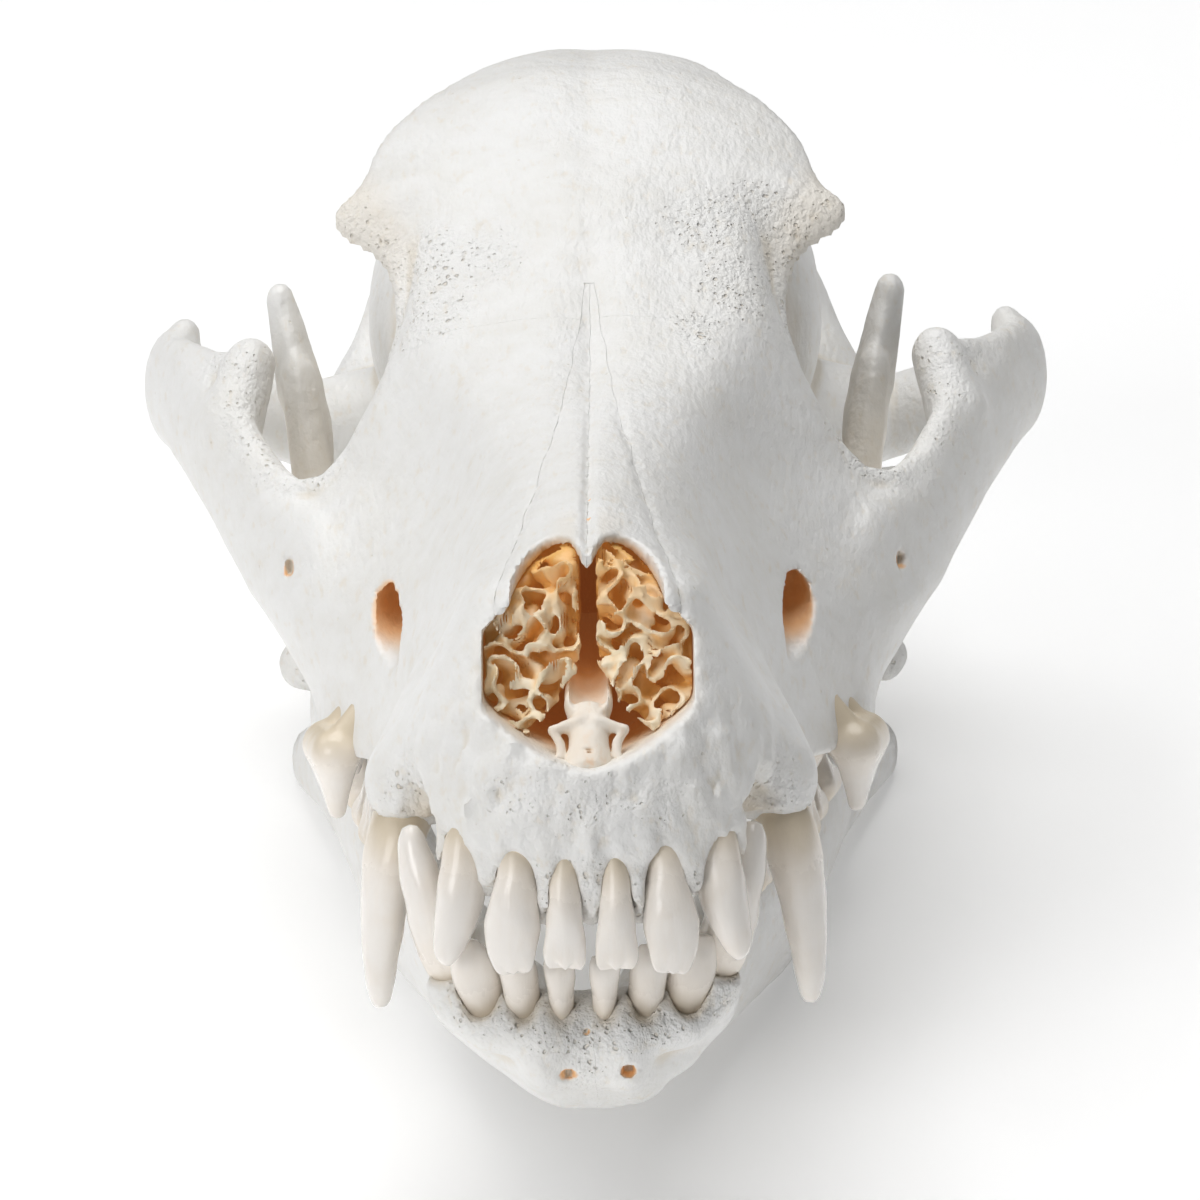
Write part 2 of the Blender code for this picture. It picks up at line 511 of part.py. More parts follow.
def boolean(obj, other, operation):
    """Joins, cuts or meets the object with another object, or with a whole collection."""
    modifier = obj.modifiers.new(operation.title(), "BOOLEAN")
    modifier.operation = operation
    modifier.solver = "MANIFOLD"
    if isinstance(other, bpy.types.Collection):
        modifier.operand_type = "COLLECTION"
        modifier.collection = other
    else:
        modifier.object = other
    return edited(applied(obj), keep_largest)


def thinned(obj, triangles):
    """Fewer triangles, with the shape kept as near as they allow."""
    edited(applied(obj), lambda work: bmesh.ops.triangulate(work, faces=work.faces))
    modifier = obj.modifiers.new("Thin", "DECIMATE")
    modifier.ratio = triangles / len(obj.data.polygons)
    return edited(applied(obj), keep_largest)


def copy_of(obj, name):
    return add_object(name, obj.data.copy(), obj.users_collection[0])


def mirrored(obj, name):
    """The same piece on the other side of the skull."""
    made = copy_of(obj, name)
    made.data.transform(Matrix.Scale(-1, 4, ALONG_X))
    made.data.flip_normals()
    return made


def loft(name, rings, collection):
    """A closed mesh through rings of as many points each, in millimetres."""
    work = bmesh.new()
    rows = [[work.verts.new(Vector(point) * MM) for point in ring] for ring in rings]
    for near, far in zip(rows, rows[1:]):
        for i in range(len(near)):
            j = (i + 1) % len(near)
            work.faces.new((near[i], near[j], far[j], far[i]))
    work.faces.new(rows[0][::-1])
    work.faces.new(rows[-1])
    bmesh.ops.triangulate(work, faces=work.faces)
    bmesh.ops.recalc_face_normals(work, faces=work.faces)
    mesh = bpy.data.meshes.new(name)
    work.to_mesh(mesh)
    work.free()
    return add_object(name, mesh, collection)


def grown(outline, distance):
    """The outline with every side moved out by the distance."""
    area = sum(a[0] * b[1] - b[0] * a[1] for a, b in zip(outline, outline[1:] + outline[:1]))
    turn = 1 if area > 0 else -1
    points = [Vector(point) for point in outline]
    moved = []
    for before, here, after in zip(points[-1:] + points[:-1], points, points[1:] + points[:1]):
        into, out_of = (here - before).normalized(), (after - here).normalized()
        sides = [Vector((way.y, -way.x)) * turn for way in (into, out_of)]
        middle = (sides[0] + sides[1]).normalized()
        moved.append(tuple(here + middle * distance / middle.dot(sides[0])))
    return tuple(moved)


def tooth(name, cusp, shake, collection):
    """One cusp: rings along the curve from its root through its neck to its tip."""
    shape, root, neck, tip, width, depth, row = cusp
    sides = TOOTH_SIDES[shape]
    root, neck, tip = Vector(root), Vector(neck), Vector(tip)
    tip = tip + Vector((shake.uniform(-0.25, 0.25), shake.uniform(-0.25, 0.25), shake.uniform(-0.3, 0.3)))
    bend = neck * 2.0 - (root + tip) * 0.5
    turn = math.radians(row + shake.uniform(-4.0, 4.0))
    along = Vector((math.cos(turn), math.sin(turn), 0))
    rings = []
    for part, wide, deep in TOOTH_RINGS[shape]:
        middle = root * (1 - part) ** 2 + bend * 2 * part * (1 - part) + tip * part ** 2
        axis = ((bend - root) * (1 - part) + (tip - bend) * part).normalized()
        across = axis.cross(along).normalized()
        side = across.cross(axis)
        ring = []
        for i in range(sides):
            angle = math.tau * i / sides
            ring.append(middle + side * math.cos(angle) * wide * width / 2
                        + across * math.sin(angle) * deep * depth / 2)
        rings.append(ring)
    return loft(name, rings, collection)


def add_teeth(obj, cusps, both_sides):
    """Fuses the teeth into the bone with one union."""
    shake = random.Random(SEED)
    teeth = bpy.data.collections.new("Teeth")
    bpy.context.scene.collection.children.link(teeth)
    for number, cusp in enumerate(cusps):
        tooth(f"tooth_{number}", cusp, shake, teeth)
        if both_sides:
            far = tooth(f"tooth_{number}_far", cusp, shake, teeth)
            far.data.transform(Matrix.Scale(-1, 4, ALONG_X))
            far.data.flip_normals()
    boolean(obj, teeth, "UNION")
    for piece in list(teeth.objects):
        bpy.data.objects.remove(piece)
    bpy.data.collections.remove(teeth)
    return obj


def nose_solid(name, collection, inset=0.0):
    """The room inside the nose, as one ellipsoid."""
    middle, radii, turn = NOSE
    bpy.ops.mesh.primitive_uv_sphere_add(segments=24, ring_count=14, radius=1.0)
    made = bpy.context.object
    made.name = name
    size = Matrix.Diagonal([(radius - inset) * MM for radius in radii] + [1.0])
    turned = Matrix.Rotation(math.radians(turn[0]), 4, "X")
    made.data.transform(Matrix.Translation(Vector(middle) * MM) @ turned @ size)
    for held in list(made.users_collection):
        held.objects.unlink(made)
    collection.objects.link(made)
    return made


def nasal_region(name, grow, side, collection):
    """The room round one nasal bone: its outline from above, from its underside up."""
    rings = []
    inner = GAP / 2 if grow < 0 else -0.001
    start, end = NASAL_WIDTH[0][0], NASAL_WIDTH[-1][0]
    for number in range(NASAL_STEPS + 1):
        y = start + (end - start + grow) * number / NASAL_STEPS
        height = level(FACE_ROOF, y) - NASAL_THICK - grow
        width = level(NASAL_WIDTH, y) + grow
        ring = ((inner, y, height), (width, y, height - 0.16 * width), (width, y, 70), (inner, y, 70))
        rings.append([(side * px, py, pz) for px, py, pz in ring])
    return loft(name, rings, collection)


def level(stops, place):
    """The height of a line through the stops, at a place along it."""
    for (start, first), (end, last) in zip(stops, stops[1:]):
        if place <= end:
            return first + (last - first) * max(0.0, (place - start) / (end - start))
    return stops[-1][1]


def side_region(name, outline, grow, low, high, collection):
    """An outline seen from the side, carried across the skull from low to high."""
    rings = [[(x, y, z) for y, z in grown(outline, grow)] for x in (low, high)]
    return loft(name, rings, collection)


def part_bones(cranium, cutters, bones):
    """Parts the cranium along its sutures into bones, each with half the gap left round it."""
    half = GAP / 2
    made = {}
    for side_name, side in LEFT_RIGHT:
        name = f"nasal_{side_name}"
        region = nasal_region(f"{name}_region", -half, side, cutters)
        made[name] = boolean(copy_of(cranium, name), region, "INTERSECT")
        name = f"zygomatic_{side_name}"
        low, high = sorted((side * (ZYGOMATIC_INNER + half), side * 70.0))
        region = side_region(f"{name}_region", ZYGOMATIC_OUTLINE, -half, low, high, cutters)
        made[name] = boolean(copy_of(cranium, name), region, "INTERSECT")
    for side_name, side in LEFT_RIGHT:
        cut = nasal_region(f"nasal_{side_name}_cut", half, side, cutters)
        boolean(cranium, cut, "DIFFERENCE")
        low, high = sorted((side * (ZYGOMATIC_INNER - half), side * 71.0))
        cut = side_region(f"zygomatic_{side_name}_cut", ZYGOMATIC_OUTLINE, half, low, high, cutters)
        boolean(cranium, cut, "DIFFERENCE")
    region = side_region("upper_jaw_region", UPPER_JAW_OUTLINE, -half, -70, 70, cutters)
    made["upper_jaw"] = boolean(copy_of(cranium, "upper_jaw"), region, "INTERSECT")
    cut = side_region("upper_jaw_cut", UPPER_JAW_OUTLINE, half, -71, 71, cutters)
    made["braincase"] = boolean(copy_of(cranium, "braincase"), cut, "DIFFERENCE")
    return made


def colour_of(name, colour, roughness):
    made = bpy.data.materials.new(name)
    made.use_nodes = True
    shader = made.node_tree.nodes["Principled BSDF"]
    shader.inputs["Base Color"].default_value = (*colour, 1.0)
    shader.inputs["Roughness"].default_value = roughness
    shader.inputs["Metallic"].default_value = 0.0
    return made


def stand_up(pieces, cutters):
    """Leans the skull back on its lower jaw, cuts its small flats and centres it on the floor.

    Gives the move from the skull's own frame, whose palate is level, to the standing one.
    """
    lean = Matrix.Rotation(math.radians(-LEAN), 4, "X")
    lift = Matrix.Translation((0, 0, -FLOOR_LEVEL * MM))
    for piece in pieces:
        piece.data.transform(lift @ lean)
    bpy.ops.mesh.primitive_cube_add(size=1.0)
    floor = bpy.context.object
    floor.name = "floor_cut"
    floor.data.transform(Matrix.Translation((0, 0.1, -0.05)) @ Matrix.Diagonal((0.4, 0.5, 0.1, 1.0)))
    for held in list(floor.users_collection):
        held.objects.unlink(floor)
    cutters.objects.link(floor)
    for piece in pieces:
        if piece.name.startswith("mandible"):
            boolean(piece, floor, "DIFFERENCE")
    corners = [vertex.co for piece in pieces for vertex in piece.data.vertices]
    low = [min(corner[axis] for corner in corners) for axis in range(3)]
    high = [max(corner[axis] for corner in corners) for axis in range(3)]
    centre = Matrix.Translation((-(low[0] + high[0]) / 2, -(low[1] + high[1]) / 2, -low[2]))
    for piece in pieces:
        piece.data.transform(centre)
        piece.data.shade_smooth()
        piece.data.set_sharp_from_angle(angle=math.radians(40))
    return centre @ lift @ lean


def main():
    clear_scene()
    bones = bpy.data.collections.new("Dog skull")
    cutters = bpy.data.collections.new("Cutters")
    for collection in (bones, cutters):
        bpy.context.scene.collection.children.link(collection)
    dome_group()
    bar_group()

    s = Space("Cranium field")
    cranium = s.solid("cranium", cranium_field(s), CRANIUM_BOX, bones)
    thinned(cranium, CRANIUM_TRIANGLES)
    add_teeth(cranium, UPPER_TEETH, both_sides=True)
    boolean(cranium, nose_solid("nose_cut", cutters), "DIFFERENCE")
    for side_name, side in LEFT_RIGHT:
        rings = [[(side * x, y, z) for x, y in NOTCH_OUTLINE] for z in (22.0, 45.0)]
        boolean(cranium, loft(f"notch_{side_name}", rings, cutters), "DIFFERENCE")
    made = part_bones(cranium, cutters, bones)
    bpy.data.objects.remove(cranium)

    room = nose_solid("nose_room", cutters, inset=GAP + 0.05)
    s = Space("Scroll field")
    scrolls = s.solid("turbinates_left", scroll_field(s), SCROLL_BOX, bones, grid=0.7)
    made["turbinates_left"] = boolean(thinned(scrolls, SCROLL_TRIANGLES), room, "INTERSECT")
    made["turbinates_right"] = mirrored(made["turbinates_left"], "turbinates_right")
    s = Space("Vomer field")
    vomer = s.solid("vomer", vomer_field(s), VOMER_BOX, bones, grid=0.6)
    made["vomer"] = boolean(thinned(vomer, VOMER_TRIANGLES), room, "INTERSECT")

    s = Space("Jaw field")
    jaw = s.solid("mandible_left", jaw_field(s), JAW_BOX, bones)
    thinned(jaw, JAW_TRIANGLES)
    far = mirrored(jaw, "mandible_right")
    for piece, side in ((jaw, 1), (far, -1)):
        if side < 0:
            piece.data.transform(Matrix.Scale(-1, 4, ALONG_X))
            piece.data.flip_normals()
        add_teeth(piece, LOWER_TEETH, both_sides=False)
        if side < 0:
            piece.data.transform(Matrix.Scale(-1, 4, ALONG_X))
            piece.data.flip_normals()
        piece.data.transform(Matrix.Translation((JAW_SHIFT * MM, 0, 0)))
        made[piece.name] = piece

    placed = stand_up(list(made.values()), cutters)
    for name, piece in made.items():
        colour, roughness = next(look for start, look in LOOKS.items() if name.startswith(start))
        piece.data.materials.clear()
        piece.data.materials.append(colour_of(name, colour, roughness))
    for cutter in cutters.objects:
        cutter.hide_render = True
        cutter.display_type = "WIRE"
    return placed


main()
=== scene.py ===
import math
import random
from functools import partialmethod, reduce

import bmesh
import bpy
from mathutils import Matrix, Vector, noise


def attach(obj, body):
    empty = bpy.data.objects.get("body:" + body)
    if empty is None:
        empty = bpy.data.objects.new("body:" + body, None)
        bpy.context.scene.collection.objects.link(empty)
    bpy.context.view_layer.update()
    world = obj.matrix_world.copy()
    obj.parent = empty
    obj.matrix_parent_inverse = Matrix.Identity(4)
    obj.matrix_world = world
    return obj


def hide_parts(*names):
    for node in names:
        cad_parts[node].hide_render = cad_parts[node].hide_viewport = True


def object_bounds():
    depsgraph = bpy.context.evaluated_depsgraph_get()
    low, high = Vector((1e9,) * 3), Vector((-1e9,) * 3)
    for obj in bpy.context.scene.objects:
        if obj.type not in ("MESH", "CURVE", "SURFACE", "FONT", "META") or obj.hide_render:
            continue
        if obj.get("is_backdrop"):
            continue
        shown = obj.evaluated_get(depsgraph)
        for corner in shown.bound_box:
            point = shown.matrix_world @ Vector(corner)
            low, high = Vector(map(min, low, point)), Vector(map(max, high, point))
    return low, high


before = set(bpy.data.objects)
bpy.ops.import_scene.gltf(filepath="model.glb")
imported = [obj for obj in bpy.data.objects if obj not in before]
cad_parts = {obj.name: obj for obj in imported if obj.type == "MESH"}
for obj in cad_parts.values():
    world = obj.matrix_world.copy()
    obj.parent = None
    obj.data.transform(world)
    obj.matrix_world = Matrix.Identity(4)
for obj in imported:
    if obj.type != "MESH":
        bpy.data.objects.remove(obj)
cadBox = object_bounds()
print("frame loaded")

# Shapes are worked out in the skull's own frame, in millimetres: x to the animal's left, y back
# from the front of the upper jaw, z up from the palate. The last step stands them on the floor.
mm = 0.001
stance = {
    "lean": 11.0,                      # degrees that the palate rises towards the nose
    "shift": (0.0, -103.37, 48.9),     # from the skull's own frame to the floor's
    "jawShift": -1.0,                  # the lower jaw sits a little to the animal's right
}
seed = 11
noise.seed_set(seed)      # Blender's own noise starts from the clock without it
standing = (Matrix.Translation(Vector(stance["shift"]) * mm)
            @ Matrix.Rotation(math.radians(-stance["lean"]), 4, "X"))


class Wire:
    # one socket of a node tree; a sum on it adds the nodes that work it out
    def __init__(self, tree, socket=None):
        self.tree = tree
        self.socket = socket

    def node(self, kind, values=(), out=0, stops=(), **settings):
        made = self.tree.nodes.new(kind)
        for key, value in settings.items():
            setattr(made, key, value)
        if kind == "ShaderNodeFloatCurve":
            made.mapping.extend = "HORIZONTAL"
            points = made.mapping.curves[0].points
            while len(points) < len(stops):
                points.new(0.5, 0.5)
            for point, place in zip(points, stops):
                point.location = place
                point.handle_type = "AUTO_CLAMPED"
            made.mapping.update()
        for slot, value in dict(values).items():
            if isinstance(value, Wire):
                self.tree.links.new(value.socket, made.inputs[slot])
            else:
                made.inputs[slot].default_value = value
        return Wire(self.tree, made.outputs[out])

    def calc(self, operation, *others):
        return self.node("ShaderNodeMath", enumerate((self,) + others), operation=operation)

    def move(self, operation, *others, out=0):
        return self.node("ShaderNodeVectorMath", enumerate((self,) + others), out, operation=operation)

    def __rsub__(self, other):
        return self * -1.0 + other

    __add__ = __radd__ = partialmethod(calc, "ADD")
    __sub__ = partialmethod(calc, "SUBTRACT")
    __mul__ = __rmul__ = partialmethod(calc, "MULTIPLY")
    __truediv__ = partialmethod(calc, "DIVIDE")
    most, least = partialmethod(calc, "MAXIMUM"), partialmethod(calc, "MINIMUM")
    # of two solids' distances: the two in one with a soft joint, and what both have
    join, meet = partialmethod(calc, "SMOOTH_MIN"), partialmethod(calc, "SMOOTH_MAX")

    def without(self, other, blend):
        # this solid with the other cut away
        return self.meet(other * -1.0, blend)

    def fade(self, low, high):
        # 0 below low, 1 above high, and smooth between them
        values = {0: self, 1: low, 2: high, 3: 0.0, 4: 1.0}
        return self.node("ShaderNodeMapRange", values, interpolation_type="SMOOTHSTEP")

    def along(self, stops):
        # a smooth curve through (place, value) stops, read at this wire's value
        first, last = stops[0][0], stops[-1][0]
        low = min(value for _, value in stops) - 1.0
        high = max(value for _, value in stops) + 1.0
        part = ((self - first) * (1.0 / (last - first))).most(0.0).least(1.0)
        curve = [((place - first) / (last - first), (value - low) / (high - low)) for place, value in stops]
        return self.node("ShaderNodeFloatCurve", {"Value": part}, stops=curve) * (high - low) + low

    def noise(self, size, detail=2.0):
        # soft noise whose lumps are about size apart, from -0.5 to 0.5
        values = {"Vector": self.scaled(1.0 / size), "Scale": 1.0, "Detail": detail, "Roughness": 0.5}
        return self.node("ShaderNodeTexNoise", values) - 0.5

    def scaled(self, size):
        return self.node("ShaderNodeVectorMath", {0: self, 3: size}, operation="SCALE")

    def cells(self, size):
        # the distance to the nearest of points that lie about size apart, as a share of size
        return self.node("ShaderNodeTexVoronoi", {"Vector": self.scaled(1.0 / size), "Scale": 1.0})

    def mix(self, first, second):
        # this wire picks between two colours
        return self.node("ShaderNodeMix", {0: self, 6: first, 7: second}, 2, data_type="RGBA")


# what a tree gives, and its kind of socket
kinds = {"Distance": "Float", "Geometry": "Geometry"}


def newTree(name, inputs, output):
    tree = bpy.data.node_groups.new(name, "GeometryNodeTree")
    for label, kind in inputs:
        tree.interface.new_socket(label, in_out="INPUT", socket_type="NodeSocket" + kind)
    tree.interface.new_socket(output, in_out="OUTPUT", socket_type="NodeSocket" + kinds[output])
    entry = tree.nodes.new("NodeGroupInput")
    return tree, {label: Wire(tree, entry.outputs[label]) for label, _ in inputs}


def closeTree(tree, result):
    ending = tree.nodes.new("NodeGroupOutput")
    tree.links.new(result.socket, ending.inputs[0])
    return tree


def makeDomeTree():
    # an ellipsoid, turned about its middle
    inputs = [(label, "Vector") for label in ("Place", "Middle", "Radii", "Turn")]
    tree, given = newTree("Dome", inputs, "Distance")
    middle = given["Place"].move("SUBTRACT", given["Middle"])
    turned = middle.node("ShaderNodeVectorRotate", {"Vector": middle, "Rotation": given["Turn"]},
                         rotation_type="EULER_XYZ", invert=True)
    spread = turned.move("DIVIDE", given["Radii"])
    near = spread.move("LENGTH", out=1)
    slope = spread.move("DIVIDE", given["Radii"]).move("LENGTH", out=1).most(1e-6)
    return closeTree(tree, near * (near - 1.0) / slope)


def makeBarTree():
    # a round bar with a radius at each end, squeezed along one side
    inputs = [(label, "Vector") for label in ("Place", "From", "To", "Flat")]
    inputs += [(label, "Float") for label in ("Squeeze", "Start", "End")]
    tree, given = newTree("Bar", inputs, "Distance")
    place = given["Place"].move("SUBTRACT", given["From"])
    axis = given["To"].move("SUBTRACT", given["From"])
    beside = place.move("DOT_PRODUCT", given["Flat"], out=1) * given["Squeeze"]
    place = place.move("ADD", given["Flat"].scaled(beside))
    part = place.move("DOT_PRODUCT", axis, out=1) / axis.move("DOT_PRODUCT", axis, out=1)
    part = part.most(0.0).least(1.0)
    distance = place.move("SUBTRACT", axis.scaled(part)).move("LENGTH", out=1)
    return closeTree(tree, distance - (given["Start"] + (given["End"] - given["Start"]) * part))


domeTree = makeDomeTree()
barTree = makeBarTree()


def nearest(distances):
    return reduce(Wire.least, distances)


def joined(distances, blend):
    return reduce(lambda one, other: one.join(other, blend), distances)


class Room:
    # a place in the skull's frame: its parts, and the same place mirrored to the animal's left
    def __init__(self, place):
        self.tree = place.tree
        self.whole = place
        split = [place.node("ShaderNodeSeparateXYZ", {0: place}, out) for out in range(3)]
        self.side, self.y, self.z = split
        self.x = self.side.calc("ABSOLUTE")
        self.place = place.node("ShaderNodeCombineXYZ", {0: self.x, 1: self.y, 2: self.z})

    def flat(self):
        return self.place.node("ShaderNodeCombineXYZ", {0: self.x, 1: self.y, 2: 0.0})

    def call(self, group, place, **values):
        made = self.tree.nodes.new("GeometryNodeGroup")
        made.node_tree = group
        self.tree.links.new(place.socket, made.inputs["Place"])
        for label, value in values.items():
            made.inputs[label].default_value = value
        return Wire(self.tree, made.outputs[0])

    def dome(self, middle, radii, turn=(0, 0, 0), place=None):
        turned = [math.radians(angle) for angle in turn]
        return self.call(domeTree, place or self.place, Middle=middle, Radii=radii, Turn=turned)

    def bar(self, points, radii, flat=(1, 0, 0), thin=1.0, place=None):
        # a chain of bars through the points, thin times as thick along flat as across it
        unit = Vector(flat).normalized()
        squeeze = 1.0 / thin - 1.0
        links = []
        for start, end, first, last in zip(points, points[1:], radii, radii[1:]):
            lean = (Vector(end) - Vector(start)).dot(unit) * squeeze
            links.append(self.call(barTree, place or self.place, From=start, To=Vector(end) + unit * lean,
                                   Flat=unit, Squeeze=squeeze, Start=first, End=last))
        return nearest(links)


def fieldTree(name, shape):
    # a tree that meshes the closed surface where the shape's distance is nought
    inputs = (("Low", "Vector"), ("High", "Vector"), ("Spacing", "Float"), ("Finish", "Material"))
    tree, given = newTree(name, inputs, "Geometry")
    start = Wire(tree)
    room = Room(start.node("GeometryNodeInputPosition").scaled(1000.0))
    sides = given["High"].move("SUBTRACT", given["Low"])
    sides = [sides.node("ShaderNodeSeparateXYZ", {0: sides}, out) for out in range(3)]
    counts = [side / given["Spacing"] + 1.5 for side in sides]
    cube = {"Density": shape(room) * -1.0, "Background": -1.0, "Min": given["Low"].scaled(mm),
            "Max": given["High"].scaled(mm)}
    cube.update((f"Resolution {axis}", count) for axis, count in zip("XYZ", counts))
    made = start.node("GeometryNodeVolumeCube", cube)
    made = start.node("GeometryNodeVolumeToMesh", {0: made, "Threshold": 0.0})
    return closeTree(tree, finished(made, given["Finish"]))


def finished(made, finish):
    made = made.node("GeometryNodeRealizeInstances", {0: made})
    return made.node("GeometryNodeSetMaterial", {"Geometry": made, "Material": finish})


def markTree(name, marks):
    # a tree that stores, at each point of a bone, what its finish reads
    inputs = (("Geometry", "Geometry"), ("Finish", "Material"))
    tree, given = newTree(name, inputs, "Geometry")
    start, made = Wire(tree), given["Geometry"]
    place = start.node("GeometryNodeInputPosition")
    room = Room(place.scaled(1000.0))
    values = {"Value": place, "Iterations": 14}
    soft = start.node("GeometryNodeBlurAttribute", values, data_type="FLOAT_VECTOR")
    normal = start.node("GeometryNodeInputNormal")
    # hollow: how far each point sinks below its blurred neighbours; the finishes paint shade there
    found = {"hollow": soft.move("SUBTRACT", place).move("DOT_PRODUCT", normal, out=1) * 1000.0}
    found.update(marks(room))
    for label, value in found.items():
        made = made.node("GeometryNodeStoreNamedAttribute", {"Geometry": made, "Name": label, "Value": value},
                         data_type="FLOAT", domain="POINT")
    return closeTree(tree, finished(made, given["Finish"]))


def run(piece, tree, **values):
    # puts what a tree makes of the piece in its mesh
    modifier = piece.modifiers.new("Shape", "NODES")
    modifier.node_group = tree
    for item in tree.interface.items_tree:
        if item.in_out == "INPUT" and item.name in values:
            modifier[item.identifier] = values[item.name]
    return applied(piece)


def applied(piece):
    graph = bpy.context.evaluated_depsgraph_get()
    mesh = bpy.data.meshes.new_from_object(piece.evaluated_get(graph))
    piece.modifiers.clear()
    piece.data = mesh
    return piece


def newPiece(name, mesh=None):
    made = bpy.data.objects.new(name, mesh or bpy.data.meshes.new(name))
    bpy.context.scene.collection.objects.link(made)
    return made


def edited(piece, change):
    work = bmesh.new()
    work.from_mesh(piece.data)
    change(work)
    work.to_mesh(piece.data)
    work.free()
    return piece


def keepLargest(work):
    # drops every loose crumb, and leaves the largest closed surface
    left = set(work.faces)
    shells = []
    while left:
        first = left.pop()
        shell, front = [first], [first]
        while front:
            for edge in front.pop().edges:
                for near in edge.link_faces:
                    if near in left:
                        left.remove(near)
                        shell.append(near)
                        front.append(near)
        shells.append(shell)
    shells.sort(key=len)
    scraps = [face for shell in shells[:-1] for face in shell]
    bmesh.ops.delete(work, geom=scraps, context="FACES")


def mirrored(box, side):
    # the box on the animal's left for 1, and on its right for -1
    (first, *low), (last, *high) = box
    first, last = sorted((first * side, last * side))
    return (first, *low), (last, *high)


def meshField(name, tree, box, spacing, finish):
    return run(newPiece(name), tree, Low=box[0], High=box[1], Spacing=spacing, Finish=finish)


def cut(piece, other, operation="DIFFERENCE"):
    modifier = piece.modifiers.new("Cut", "BOOLEAN")
    modifier.operation = operation
    modifier.solver = "MANIFOLD"
    modifier.object = other
    return edited(applied(piece), keepLargest)


def trim(pieces, region, operation="DIFFERENCE"):
    # cuts the pieces with a region that is then done with
    for piece in pieces:
        cut(piece, region, operation)
    bpy.data.objects.remove(region)


def stand(piece):
    # out of the skull's own frame, on to the floor
    piece.data.transform(standing)
    piece.data.shade_smooth()
    piece.data.set_sharp_from_angle(angle=math.radians(50.0))
    return piece


def level(stops, place):
    # the height of a line through the stops, at a place along it
    for (start, first), (end, last) in zip(stops, stops[1:]):
        if place <= end:
            return first + (last - first) * max(0.0, (place - start) / (end - start))
    return stops[-1][1]


def wander(point, size, amount):
    # moves a point, in millimetres, by smooth noise that is the same each run
    return point + noise.noise_vector(point / size) * amount


def strip(work, near, far):
    # faces between two rings of points
    for i in range(len(near)):
        j = (i + 1) % len(near)
        work.faces.new((near[i], near[j], far[j], far[i]))


def pieceFrom(name, work):
    bmesh.ops.recalc_face_normals(work, faces=work.faces)
    if work.calc_volume(signed=True) < 0:
        # the call above now and then turns a whole shell inside out, and a cut by it goes wrong
        bmesh.ops.reverse_faces(work, faces=work.faces)
    mesh = bpy.data.meshes.new(name)
    work.to_mesh(mesh)
    work.free()
    return newPiece(name, mesh)


def loft(name, rings, size=3.0, amount=0.0):
    # a closed mesh through rings of as many points each, in millimetres
    work = bmesh.new()
    rows = [[work.verts.new(wander(Vector(point), size, amount) * mm) for point in ring] for ring in rings]
    for near, far in zip(rows, rows[1:]):
        strip(work, near, far)
    work.faces.new(rows[0][::-1])
    work.faces.new(rows[-1])
    bmesh.ops.triangulate(work, faces=[face for face in work.faces if len(face.verts) > 4])
    return pieceFrom(name, work)


alongX, alongY, alongZ = (1, 0, 0), (0, 1, 0), (0, 0, 1)
ways = (("Left", 1), ("Right", -1))

# half widths and heights of the face, as (place along y, size)
face = {
    "furrow": 1.3,            # depth of the dip between the eyes
    "blunt": 20.0,            # how far back its rounded front reaches
    "rake": (4.0, 0.0165, 0.5),   # where its front starts to lean back, how strongly, and how far ahead
    "gumRidge": 8.6,          # width of the bone that holds the cheek teeth
    "palate": 4.6,
    "back": (10.0, 0.5, 99.0),    # where its back starts to slope, how strongly, and its place
    "crown": 2.6,             # how far the roof falls to its sides
    "roof": ((0, 30.0), (15, 32.0), (40, 36.2), (60, 39.4), (76, 42.8), (86, 46.4), (96, 52.5), (106, 59.5),
             (116, 64.5), (130, 67.5)),
    "gum": ((0, -2.6), (3, -1.8), (6, 0.6), (10, 3.2), (14, 4.6), (20, 4.4), (28, 2.2), (40, 0.8),
            (60, -0.2), (76, -1.2), (90, 0.3), (110, 4.0)),
    "widths": {           # height: half widths
        0.0: ((20, 21.3), (30, 19.6), (40, 19.2), (52, 21.4), (62, 25.6), (72, 29.8), (80, 31.6),
              (88, 31.2), (96, 27.8), (110, 20.0)),
        14.0: ((20, 19.6), (30, 17.8), (40, 17.4), (52, 19.2), (62, 22.4), (70, 26.4), (78, 32.4),
               (84, 36.8), (90, 39.2), (110, 41.0)),
        28.0: ((20, 12.2), (30, 12.2), (45, 13.0), (60, 15.0), (72, 17.8), (82, 23.0), (88, 27.6),
               (93, 30.0), (100, 29.0), (110, 26.0)),
        "roof": ((20, 6.0), (40, 7.2), (60, 10.2), (76, 13.4), (88, 16.6), (96, 18.2), (116, 18.0)),
    },
}

forehead = {
    "height": ((84, 45.0), (96, 52.5), (106, 60.0), (114, 65.4), (122, 69.2), (132, 71.7), (143, 72.5),
               (156, 71.0), (170, 67.4), (185, 64.6), (200, 60.5)),
    "width": ((84, 17.0), (94, 20.2), (101, 21.6), (105, 23.8), (108, 27.6), (110.5, 30.4), (112.5, 28.8),
              (116, 27.0), (120, 25.8), (126, 22.4), (133, 17.8), (142, 12.2), (152, 7.2), (162, 3.8),
              (200, 1.6)),
    "fall": ((84, 4.0), (94, 9.5), (101, 10.0), (106, 7.8), (111, 7.0), (116, 6.6), (121, 5.6),
             (130, 3.8), (145, 1.6), (200, 0.8)),
    "thick": ((84, 14.0), (104, 9.0), (111, 5.6), (124, 8.5), (150, 7.0), (200, 6.0)),
    "groove": 0.8,        # depth of the furrow down the middle
    "reach": (86.0, 199.0),   # from front to back
    "thinning": 0.6,      # how much thinner its sides are
}

